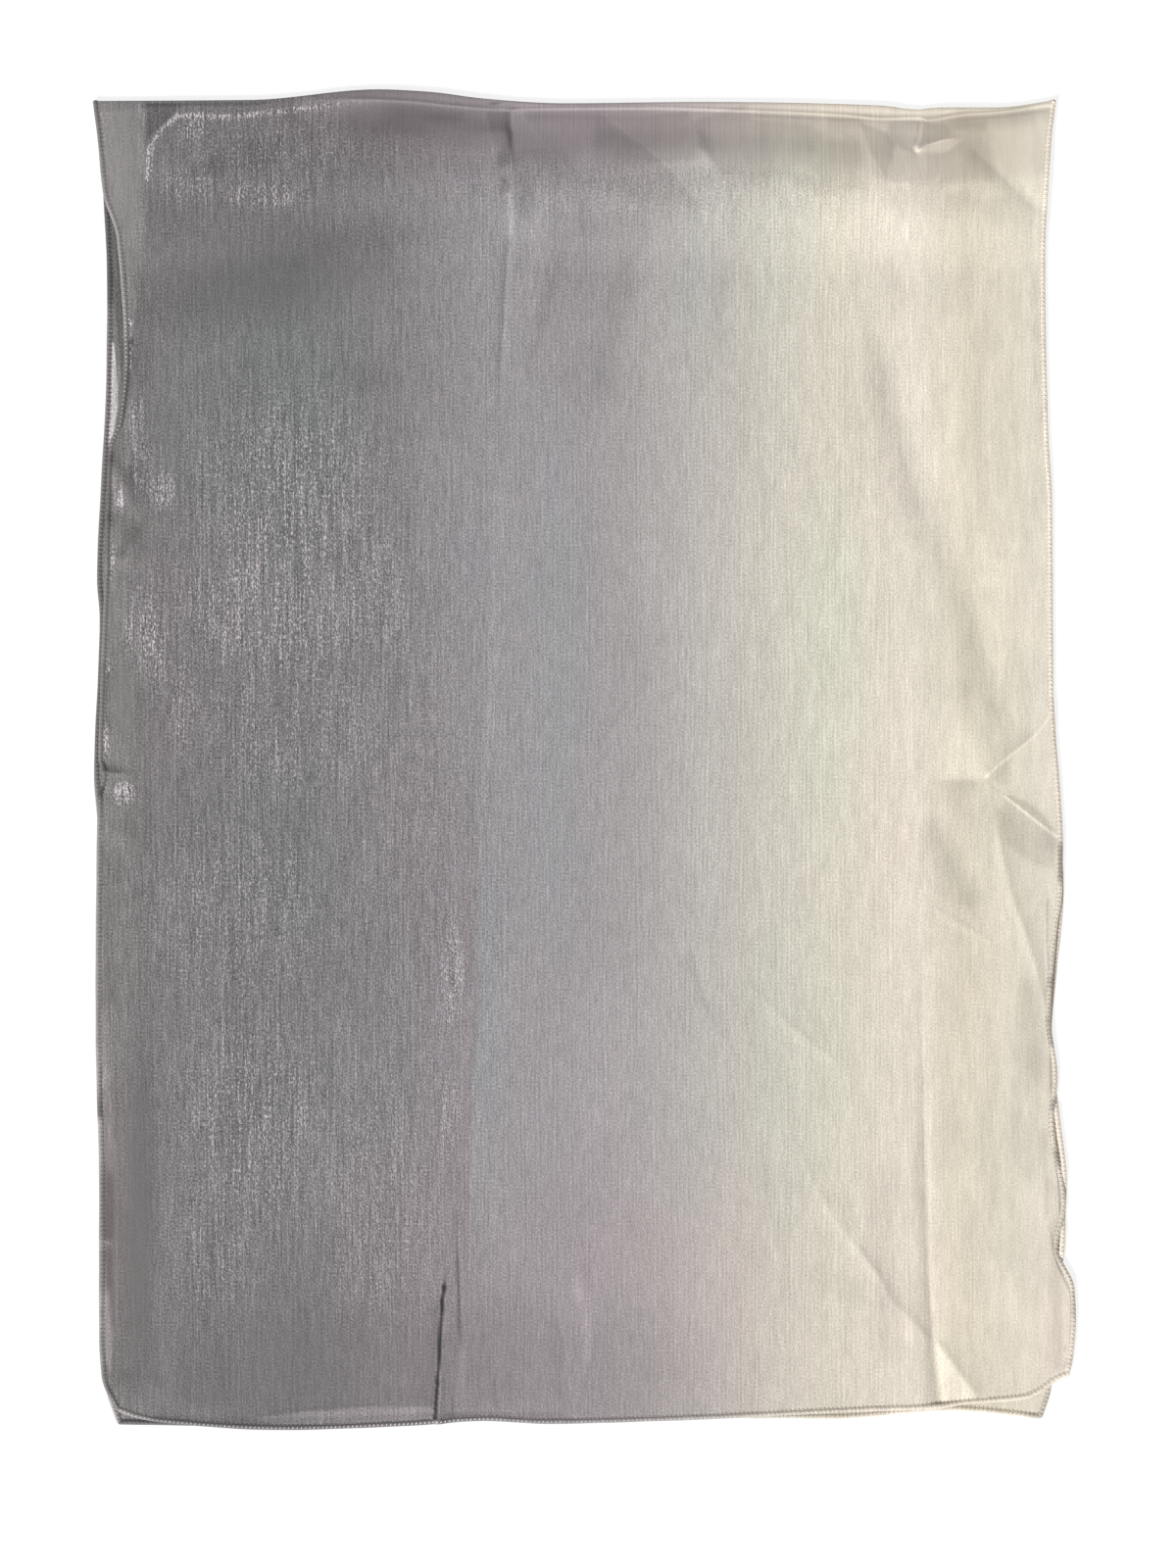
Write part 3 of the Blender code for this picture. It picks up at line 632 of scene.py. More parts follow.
    Shade(((-92, 10), (-92, -190)), 44, 44, 0.93, 26, 20, 40, 40),
    Shade(((20, -130), (20, -345)), 50, 50, 1.045, 26, 30, 50, 40),
    band(((-253, -90), (-253, -320)), 12, 0.92, 9, 40, 40),
    Shade(((290, 180), (297, 30)), 22, 20, 1.07, 14, 14, 40, 24),
    # soft troughs to the right of the middle crease
    band(((44, 395), (24, 335), (16, 290), (8, 240)), 14, 0.88, 12, 50, 40),
    Shade(((-2, 392), (-20, 350), (-36, 290), (-40, 255)), 4, 14, 0.92, 4, 12, 20, 50),
    Shade(((-40, 350), (60, 358)), 26, 30, 0.95, 18, 20),
    Shade(((118, 372), (103, 345), (99, 300)), 4, 10, 0.94, 4, 8, 20, 30),
    Shade(((60, 405), (140, 400), (215, 402)), 20, 20, 1.05, 12, 14, 30),
    band(((-176, 15), (-120, 17.5), (-78, 17.5)), 0.9, 0.88, 0.8, 30, 14),
    band(((-70, 20), (0, 25), (50, 32)), 0.9, 0.95, 0.8, 20, 30),
    band(((-40, -29), (80, -28), (200, -27)), 1, 0.95, 0.9, 30, 50),
    Shade(((64, 5), (72, -20), (78, -38)), 2.5, 3.5, 0.92, 2.5, 3, 8, 8),
    Shade(((76, -132), (84, -165), (92, -186)), 2.5, 4, 0.89, 2.5, 4, 8, 8),
    band(((88, -182), (103, -208)), 1.4, 1.07, 1.2, 4, 4),
    band(FINE_FOLD, 1.4, 1.06, 1.2, 12, 4),
    # the swag
    Shade(((211, 352), (212, 300), (217, 262), (226, 228), (238, 196), (252, 160), (267, 125), (281, 85),
          (294, 52), (308, 24)), 13, 16, 0.85, 12, 15, 70, 24),
    Shade(((228, 300), (240, 240), (262, 190), (290, 120)), 22, 6, 1.05, 18, 6, 30, 30),
    # the star
    Shade(((248, -15), (291, -15)), 44, 0, 1.06, 36, 1, 20, 10),
    Facet(((257, -14.5), (291, -14.5), (289, 8), (270, 44), (260, 44)), 1.14, 12),
    Shade(((260, -15), (292, -15)), 0, 12, 0.93, 1, 11, 14, 2),
    band(((291, -14), (300, -5.5), (312, 4), (322, 12), (330, 19), (336, 27), (340.5, 35)), 1, 1.22, 0.9, 2,
          2),
    Shade(((298, -6), (312, 5), (322, 13), (330, 20.5)), 15, 0, 0.88, 14, 1, 14, 8),
    band(((286, 56), (300, 34), (312, 16)), 8, 0.92, 8, 20, 8),
    Facet(((293, -15), (304, -3), (311, 2), (308, -20)), 0.82, 3.5),
    band(((292, -15), (304, -25)), 1.2, 0.88, 1, 1, 2),
    band(((304, -25.5), (310, -30), (325, -42), (338, -52), (346, -57.5)), 1, 1.34, 0.9, 4, 2),
    Facet(((306, -25.5), (312, -27), (323, -31), (333, -39), (342, -51.5), (339, -51.5)), 0.79, 1.6),
    Facet(((303, -26), (325, -43), (346, -59), (341, -79), (326, -76), (305, -60)), 0.82, 5),
    Shade(((337, -46), (340, -70)), 6, 8, 0.84, 5, 7, 8, 8),
    Shade(((298, -30), (300.5, -45), (303, -65), (307, -82), (312, -100), (318, -118), (326, -140),
          (333, -168), (340, -192)), 10, 0, 0.93, 8, 1.2, 10, 2),
    Shade(((300.5, -45), (303, -65), (307, -82), (312, -100), (318, -118), (326, -140), (333, -168),
          (340, -192)), 0, 12, 1.1, 1.2, 10, 16, 8),
    band(((331, -76), (331.5, -100), (332, -126)), 0.9, 1.1, 0.9, 8, 8),
    band(((339, -84), (341, -104), (340, -128)), 1.6, 1.08, 1.4, 10, 8),
    band(((337.5, -95), (336.6, -112), (336.8, -135), (338.5, -160), (340.5, -184)), 1.1, 0.66, 0.9, 10, 6),
    Shade(((250, -34), (260, -60), (272, -86), (288, -114)), 12, 14, 0.84, 10, 12, 16, 14),
    band(LAP, 1.4, 1.08, 1.2, 8, 8),
    Shade(((236.5, 70), (237.5, 20), (238, -10)), 2.5, 1.5, 1.06, 2, 1.2, 30, 14),
    band(((324, -150), (328, -200), (318, -260)), 14, 0.87, 10, 20, 40),
    # creases that fan out to the front end
    Shade(FAN, 8, 0, 1.12, 6, 1, 230, 2),
    Shade(FAN, 0, 12, 0.86, 1, 10, 230, 2),
    Shade(((168, -312), (175, -322), (200, -357), (215, -377), (222, -392)), 0, 10, 1.06, 1.2, 8, 20, 4),
    Shade(((190, -343), (215, -377), (222, -392), (238, -408), (253, -426)), 8, 0, 0.88, 7, 1.2, 20, 4),
    Shade(FAN_SIDE, 0, 16, 0.9, 1.2, 14, 12, 2),
    Facet(((255.5, -422), (264.5, -434.5), (287, -464), (262, -472)), 1.24, 1.4),
    Shade(((255.5, -422), (264.5, -434.5), (275, -448.5), (287, -464)), 8, 0, 0.93, 8, 1, 4, 4),
    band(CORNER_PUFF, 5, 1.06, 5, 30, 30),
    Shade(((336, -262), (336.5, -300), (337, -345)), 2, 4, 0.86, 2, 4, 10, 14),
    # the front end
    # a near-black painted shadow in the slit beside the standing pleat
    Shade(((-100.6, -374), (-103.2, -394), (-104.3, -412), (-105.8, -440), (-107.5, -465), (-109, -487)), 2,
          1.9, 0.08, 1, 1, 10, 1),
    Shade(((-104.5, -384), (-107.5, -440), (-110.5, -480)), 0, 9, 0.86, 1, 8, 14, 2),
    band(((-93, -340), (-91, -392), (-89.6, -440)), 1.8, 0.42, 1.5, 20, 26),
    Shade(((-94, -316), (-92.5, -352)), 2, 4, 0.8, 1.5, 3.5, 16, 2),
    Shade(((-98, -384), (-100, -476)), 5, 4, 1.14, 3, 1.5, 10, 4),
    band(((-97, -460), (-95, -478)), 1, 0.6, 0.9, 6, 2),
    Shade(((-330, -436), (-120, -434), (150, -446)), 60, 50, 0.9, 56, 10, 80, 100),
    Shade(((-23, -392), (-20, -430), (-18, -470)), 6, 7, 0.86, 4, 6, 24, 4),
    band(((-8, -366), (0, -404), (2, -450)), 6, 1.28, 5, 24, 14),
    band(((-66, -445), (-63, -474)), 1.4, 0.8, 1.2, 8, 4),
    band(((-54, -440), (-53, -474)), 1.4, 0.86, 1.2, 8, 4),
    Shade(((-250, -479), (-200, -473.6), (-160, -471.6), (-110, -470.8)), 4, 0, 0.86, 4, 1, 30, 60),
    Facet(((-244, -480), (-200, -474.2), (-160, -471.6), (-130, -471), (-107.5, -471.4), (-108, -482),
          (-160, -484), (-220, -484)), 1.48, 1.2),
    Facet(((-105.5, -471.6), (-60, -473), (0, -477), (20, -480.5), (-60, -481), (-105.5, -482)), 1.08, 1.2),
    Shade(((-318, -477), (-300, -478.6), (-250, -481), (-200, -480.6), (-150, -479.4), (-110, -477.6),
          (-60, -476.4), (-8, -477.4)), 2.4, 4, 0.78, 1.2, 1, 10, 10),
    # the dark line inside the right hem, low on the front: painted shade where the hem meets the cloth
    band(((337.2, -180), (339.2, -205), (339.6, -235), (341.4, -262), (343.6, -290), (346.2, -318),
          (346, -334)), 1.2, 0.58, 0.9, 10, 4),
    # the edge at the lower right, folded in a little, with painted shade along the fold
    band(((336, -296), (336.8, -330), (339, -346)), 1.2, 0.9, 1, 16, 4),
    band(((339.5, -342), (341.3, -354), (344, -366), (350, -380), (354.6, -389), (355.4, -402), (354, -422),
          (352, -444)), 1.1, 0.66, 0.9, 4, 4),
    band(((341, -348), (342.4, -358), (345.4, -369), (350, -380)), 2, 0.8, 1.4, 6, 8),
    band(((350, -424), (350.4, -436), (349, -446)), 0.9, 0.75, 0.8, 3, 3),
    band(((338, -370), (340, -400), (338, -440)), 3, 0.93, 3, 14, 14),
    band(((326, -400), (324, -440), (322, -458)), 8, 1.05, 8, 14, 6),
    # the strip along the left edge, low on the front
    Shade(((-325, -190), (-322, -300), (-320, -466)), 14, 19, 0.86, 6, 2, 40, 14),
    Shade(((-268, -325), (-268, -400)), 10, 8, 0.9, 6, 6),
    band(((-250, -70), (-245, -110)), 30, 0.94, 20, 16, 16),
    Facet(((-353, -212), (-349, -205), (-345.5, -232), (-341, -262), (-339.5, -290), (-347, -304),
          (-352, -262)), 1.2, 3.5),
    Shade(((-348.5, -220), (-349.5, -244)), 2.6, 2.2, 1.3, 1.5, 1.5, 6, 8),
    band(((-346, -262), (-344, -290)), 1.4, 1.25, 1.2, 8, 8),
    Shade(((-352, -220), (-351.8, -264)), 1.4, 1.2, 0.4, 1, 1, 8, 6),
    Shade(((-349, -290), (-346, -320), (-347.5, -351)), 6.5, 8, 0.76, 4, 3, 16, 4),
    Shade(((-347, -354), (-347.5, -394)), 5.5, 8, 0.78, 4, 3, 4, 12),
    band(((-351.5, -350), (-342, -353.5)), 0.9, 1.7, 0.8, 2, 2),
    Facet(((-348, -374), (-345.5, -394), (-342.5, -420), (-344.5, -447), (-348.5, -441), (-351, -412)), 1.55,
          2.5),
    band(((-351.5, -396), (-351, -436), (-347, -456)), 1.6, 0.78, 1.4, 6, 6),
    # along the left edge, above and below its kink
    Shade(((-346, -50), (-345, -190)), 8, 8, 0.85, 5, 6),
    band(((-338, -316), (-338, -474)), 14, 0.9, 8, 20, 2),
    Shade(((-334, 262), (-337, 240), (-336, 216)), 5, 4, 0.8, 4, 3, 10, 8),
    Shade(((-346, 75), (-346, 15)), 7, 8, 0.88, 5, 5, 8, 8),
    band(((-352, -8.4), (-334, -9.6)), 0.9, 0.55, 0.8, 1, 8),
    Shade(((-344, 224), (-335, 208), (-330, 193)), 6, 7, 0.8, 6, 6, 8, 8),
    band(((-349, 150), (-336, 150), (-321, 173)), 7, 0.74, 7, 8, 10),
    Shade(((-354, -6.6), (-336, -8.2)), 2.6, 1.4, 0.82, 2.4, 1.4, 2, 10),
    band(((-346, -12.2), (-335, -12.6), (-324, -14)), 0.9, 1.25, 0.8, 3, 6),
    band(((-353, -14), (-350.5, -20), (-353.5, -31)), 0.9, 0.45, 0.8, 2, 2),
    Shade(((-338, -52), (-312, -56)), 8, 9, 0.88, 8, 8, 12, 14),
)
# Painted shade and light on what shows of the back beside the front: painted shadow deep in the gap at the
# upper left, painted light on a pale sliver below it, and painted light by the right edge low down
BACK_PAINTED_SHADE = (
    Facet(((-351, 414), (-343, 408), (-337, 370), (-334, 300), (-337, 262), (-340.5, 290), (-344.5, 335),
          (-347.5, 380)), 0.62, 1.4),
    Facet(((-345.8, 306), (-342.5, 303), (-339.8, 275), (-340, 255), (-343, 237), (-348.5, 224),
          (-348.2, 240)), 2.7, 1.2),
    Facet(((340, -245), (352, -245), (354, -370), (340, -370)), 1.5, 6),
)
# Where the shimmer yarn catches the light: its glints are painted into the colour, and its yarns show more
SHIMMER = (
    Patch(-225, 440, 110, 46, 0.5), Patch(-285, 418, 40, 22, 0.7), Patch(-285, 458, 18, 14, 1.1),
    Patch(-232, 410, 50, 16, 0.9),
    Shade(((-317.5, 415), (-316, 444), (-308, 458), (-296, 469), (-262, 470)), 2, 4, 1.7, 2, 3, 8, 14),
    Shade(((-300, 466), (-250, 469), (-190, 476), (-146, 480)), 2, 5, 1.4, 2, 4, 14),
    Patch(-215, 190, 120, 135, 0.8), Patch(-225, 110, 120, 105, 0.84), Patch(-270, 125, 36, 70, 0.4),
    Patch(-155, 120, 62, 90, 0.72), Patch(-322, 214, 16, 40, 0.75), Patch(-316, 96, 26, 56, 0.9),
    Patch(-325, 248, 9, 28, 0.9), Patch(-335, -24, 14, 12, 1.8),
    band(((-329.5, 324), (-329.5, 300), (-330.5, 280)), 2.6, 2.4, 2, 4, 4),
    Patch(-331, 94, 8, 22, 1), Patch(-311, 84, 13, 60, 0.9), Patch(-294, 40, 14, 60, 0.9),
    Patch(-306, 196, 14, 26, 1.3), Patch(-345, 145, 6, 22, 1.3), Patch(-338, 190, 5, 15, 1.3),
    Patch(-347, 68, 5, 10, 1.5), Patch(-350, 14, 8, 20, 1.3), Patch(-210, 30, 130, 110, 0.65),
    Patch(-250, -110, 110, 130, 0.62), Patch(-96, -155, 11, 68, 1.45), Patch(-98, -260, 11, 60, 0.8),
    Patch(-240, -260, 100, 150, 0.7), Patch(-270, -350, 60, 140, 0.5), Patch(-150, -310, 80, 180, 0.56),
    Patch(-110, 0, 60, 260, 0.4), Patch(-160, -60, 190, 420, 0.35), Patch(60, 120, 420, 560, 0.12),
    Patch(60, 412, 210, 34, 0.55),
)
# Where the cloth is smooth and quiet: weaker yarn streaks and fewer painted glints
QUIET = (
    Patch(-336, 425, 20, 110, 0.8), Patch(-225, 352, 120, 40, 0.6), Patch(-325, -340, 17, 150),
    Patch(-346, -340, 12, 150, 0.8), Patch(-180, -440, 220, 60, 0.4), Patch(-335, 270, 14, 20, 0.6),
    Patch(-336, 45, 12, 40, 0.8), Patch(-346, 100, 8, 40, 0.6), Patch(-300, 210, 10, 60, 0.4),
    Facet(((-190, 500), (-175, 460), (-50, 440), (170, 428), (360, 420), (360, 500)), 1, 22),
)


# Where the cloth has a pink cast, above nought, or a green one, below it
TINTS = (
    Patch(-20, 492, 300, 95, 1.2), Patch(290, 450, 70, 40, 0.4), Patch(-110, 470, 110, 50, 0.5),
    Patch(60, 475, 340, 44, 0.28), Patch(40, -420, 210, 200, 0.9), Patch(-130, -400, 110, 190, 0.6),
    Shade(DYE_EDGE, 0, 60, 0.6, 1.2, 50, 50, 1),
    Shade(DYE_EDGE, 34, 0, -0.4, 28, 1.2, 50, 100),
    Patch(-345, -330, 26, 140, 0.9), Patch(345, -390, 30, 130, 0.3), Patch(-170, -477, 80, 7, 0.6),
    Patch(-50, -479, 60, 6, 0.6), Patch(-245, 265, 125, 150, -0.9), Patch(-20, 60, 28, 260, -0.7),
    Patch(180, 60, 40, 190, -0.5), Patch(-230, -60, 110, 110, -0.5),
)


def painted_shade_and_tone_of(shades: Sequence[Shade | Facet | Patch], x: Array, y: Array) -> Array:
    """How far the shades paint the dye darker or paler at each place, about 1: painted shade and light."""
    return math.prod(1 + (shade.level - 1) * shade.share(x, y) for shade in shades)


def finest_lines() -> list[Shade]:
    """The thin lines on the front that differ most from the cloth beside them."""
    shades = [shade for shade in PAINTED_SHADE_AND_TONE if isinstance(shade, Shade)]
    return [shade for shade in shades if shade.left + shade.right < 3.2 and abs(shade.level - 1) > 0.3]


def crisp_lines() -> list[Track | Facet]:
    """Finds the lines on the front that need small cells to look crisp.

    Returns:
        The lines, and a track for each small patch of shimmer.
    """
    folds = [crease for crease in FRONT_CREASES if crease.profile is Profile.SHARP]
    sharp = [crease for crease in folds if abs(crease.height) > 0.35]
    narrow = [shade for shade in PAINTED_SHADE_AND_TONE if isinstance(shade, Facet) and shade.soft <= 2.5]
    lines = [shade for shade in PAINTED_SHADE_AND_TONE if isinstance(shade, Shade)]
    narrow += [line for line in lines if min(line.left_soft, line.right_soft) < 1.6]
    small = [area for area in SHIMMER if isinstance(area, Shade)]
    small += [Track(((area.x, area.y - area.along), (area.x, area.y + area.along)), 0.0, 0.0)
              for area in SHIMMER if isinstance(area, Patch) and area.across < 10]
    return sharp + narrow + small


@dataclass(frozen=True)
class Dye:
    """The ombre: colours as the eye sees them, from the left edge of the cloth to the right one."""

    stops: tuple[tuple[float, Colour], ...] = (
        (0.00, (136, 133, 134)),
        (0.05, (126, 123, 125)),
        (0.20, (122, 120, 122)),
        (0.30, (134, 131, 134)),
        (0.355, (144, 141, 145)),
        (0.387, (150, 147, 151)),
        (0.410, (156, 153, 157)),
        (0.50, (161, 157, 161)),
        (0.558, (170, 166, 167)),
        (0.609, (184, 181, 179)),
        (0.660, (197, 193, 186)),
        (0.711, (209, 206, 195)),
        (0.762, (219, 214, 199)),
        (0.813, (227, 219, 206)),
        (0.844, (232, 224, 211)),
        # this darker stop is painted shade, not a change of the dye
        (0.894, (219, 211, 194)),
        (0.925, (224, 217, 200)),
        (1.00, (231, 224, 211)),
    )


def linear(colour: Colour) -> Mixed:
    """Turns a colour from 0 to 255, as the eye sees it, into the shader's own numbers."""
    parts = [part / 255 for part in colour]
    return (*((p / 12.92 if p <= 0.04045 else ((p + 0.055) / 1.055) ** 2.4) for p in parts), 1.0)


class NodeGraph:
    """The nodes of one material."""

    def __init__(self, name: str) -> None:
        """Makes a material with a lone Principled shader.

        Args:
            name: the material's name.
        """
        self.material = bpy.data.materials.new(name)
        self.material.use_nodes = True
        self.tree = self.material.node_tree
        self.shader = self.tree.nodes["Principled BSDF"]

    def node(self, kind: str, **settings: object) -> bpy.types.Node:
        """Adds a node.

        Args:
            kind: Blender's name for its type.
            settings: its properties.

        Returns:
            The node.
        """
        made = self.tree.nodes.new(kind)
        for name, value in settings.items():
            setattr(made, name, value)
        return made

    def feed(self, socket: Socket, value: object) -> None:
        """Links a socket to another, or gives it a number.

        Args:
            socket: the one that takes it.
            value: another socket, or the number.
        """
        if isinstance(value, Socket):
            self.tree.links.new(value, socket)
        else:
            socket.default_value = value

    def math(self, operation: str, *values: object, clamp: bool = False) -> Socket:
        """Works out a number from others.

        Args:
            operation: Blender's name for the way.
            values: sockets or numbers.
            clamp: whether it is held between 0 and 1.

        Returns:
            The result's socket.
        """
        made = self.node("ShaderNodeMath", operation=operation, use_clamp=clamp)
        for socket, value in zip(made.inputs, values):
            self.feed(socket, value)
        return made.outputs[0]

    def add(self, *parts: object) -> Socket:
        """The sum of some numbers."""
        return reduce(lambda total, part: self.math("ADD", total, part), parts)

    def times(self, *parts: object) -> Socket:
        """The product of some numbers."""
        return reduce(lambda total, part: self.math("MULTIPLY", total, part), parts)

    def spread(self, value: Socket, low: float, high: float) -> Socket:
        """Turns a range into 0 to 1, held at both ends.

        Args:
            value: what is turned.
            low: what becomes 0.
            high: what becomes 1.

        Returns:
            The result's socket.
        """
        made = self.node("ShaderNodeMapRange", clamp=True)
        self.feed(made.inputs["Value"], value)
        made.inputs["From Min"].default_value = low
        made.inputs["From Max"].default_value = high
        return made.outputs[0]

    def across(self) -> Socket:
        """Finds the place across the flat cloth.

        Returns:
            Metres from its left edge.
        """
        split = self.node("ShaderNodeSeparateXYZ")
        self.feed(split.inputs[0], self.node("ShaderNodeUVMap", uv_map=UV_NAME).outputs[0])
        return split.outputs[0]

    def place(self, scale: Scale) -> Socket:
        """Finds the place on the flat cloth, stretched.

        Args:
            scale: what the metres across and along are multiplied by.

        Returns:
            The place's socket.
        """
        uv = self.node("ShaderNodeUVMap", uv_map=UV_NAME)
        made = self.node("ShaderNodeVectorMath", operation="MULTIPLY")
        self.feed(made.inputs[0], uv.outputs[0])
        made.inputs[1].default_value = (*scale, 1.0)
        return made.outputs[0]

    def noise(self, scale: Scale, detail: float = 2.0, slip: Socket | None = None) -> Socket:
        """Uneven values about a half.

        Args:
            scale: how many per metre across and along the cloth.
            detail: how many finer layers are laid on it.
            slip: how far each yarn is moved along itself, in its own lengths.

        Returns:
            The value's socket.
        """
        made = self.node("ShaderNodeTexNoise", noise_dimensions="2D")
        at = self.place(scale)
        if slip is not None:
            moved = self.node("ShaderNodeCombineXYZ")
            self.feed(moved.inputs[1], slip)
            total = self.node("ShaderNodeVectorMath", operation="ADD")
            self.feed(total.inputs[0], at)
            self.feed(total.inputs[1], moved.outputs[0])
            at = total.outputs[0]
        self.feed(made.inputs["Vector"], at)
        made.inputs["Scale"].default_value = 1.0
        made.inputs["Detail"].default_value = detail
        return made.outputs[0]

    def bundle_slip(self) -> Socket:
        """Slips each narrow bundle of yarns along itself, at random.

        Returns:
            How far, for the bundle at each place.
        """
        made = self.node("ShaderNodeTexWhiteNoise", noise_dimensions="1D")
        self.feed(made.inputs["W"], self.math("FLOOR", self.times(self.across(), 400.0)))
        return self.times(made.outputs["Value"], 7.0)

    def rib(self, apart: float) -> Socket:
        """Ribs along the cloth that wander a little.

        Args:
            apart: their distance, in millimetres.

        Returns:
            Their height, about nought.
        """
        wander = self.times(self.noise((30.0, 4.0), 1.0), 16.0)
        turned = self.times(self.across(), 2 * math.pi / (apart * MM))
        return self.times(self.math("SINE", self.add(turned, wander)), self.noise((60.0, 9.0)))

    def uneven(self, value: Socket, amount: float) -> Socket:
        """An uneven value turned into one about nought, of a given amount."""
        return self.times(self.math("SUBTRACT", value, 0.5), amount)

    def attribute(self, name: str) -> Socket:
        """A number stored on the mesh."""
        return self.node("ShaderNodeAttribute", attribute_name=name).outputs["Fac"]

    def ramp(self, at: Socket, stops: Sequence[tuple[float, Sequence[float]]]) -> Socket:
        """Colours along a scale from 0 to 1.

        Args:
            at: place on the scale.
            stops: places and their colours.

        Returns:
            The colour's socket.
        """
        made = self.node("ShaderNodeValToRGB")
        made.color_ramp.interpolation = "EASE" if len(stops) == 2 else "LINEAR"
        elements = made.color_ramp.elements
        while len(elements) < len(stops):
            elements.new(1.0)
        for element, (place, colour) in zip(elements, stops):
            element.position = place
            element.color = colour
        self.feed(made.inputs[0], at)
        return made.outputs[0]

    def mix(self, share: object, first: object, second: object, blend: str = "MIX") -> Socket:
        """Blends two colours.

        Args:
            share: how much of the blend shows.
            first: the colour below.
            second: the colour above.
            blend: Blender's name for the way.

        Returns:
            The colour's socket.
        """
        made = self.node("ShaderNodeMix", data_type="RGBA", blend_type=blend)
        self.feed(made.inputs[0], share)
        self.feed(made.inputs[6], first)
        self.feed(made.inputs[7], second)
        return made.outputs[2]

    def brighten(self, colour: Socket, by: Socket) -> Socket:
        """Multiplies a colour by a number.

        Args:
            colour: the colour.
            by: the number.

        Returns:
            The colour's socket.
        """
        made = self.node("ShaderNodeVectorMath", operation="SCALE")
        self.feed(made.inputs[0], colour)
        self.feed(made.inputs["Scale"], by)
        return made.outputs[0]

    def bump(self, height: Socket, distance: float, strength: float) -> None:
        """Raises the surface.

        Args:
            height: how high each place is.
            distance: metres for a height of 1.
            strength: how much of it shows.
        """
        made = self.node("ShaderNodeBump")
        made.inputs["Strength"].default_value = strength
        made.inputs["Distance"].default_value = distance
        self.feed(made.inputs["Height"], height)
        self.feed(self.shader.inputs["Normal"], made.outputs[0])


UV_NAME = "cloth_place"
SHIMMER_NAME = "shimmer"
QUIET_NAME = "quiet"
# the stored number by which painted shade and light, with some tone of the dye, darken or lighten each
# colour
PAINTED_SHADE_AND_TONE_NAME = "depth"
TINT_NAME = "tint"


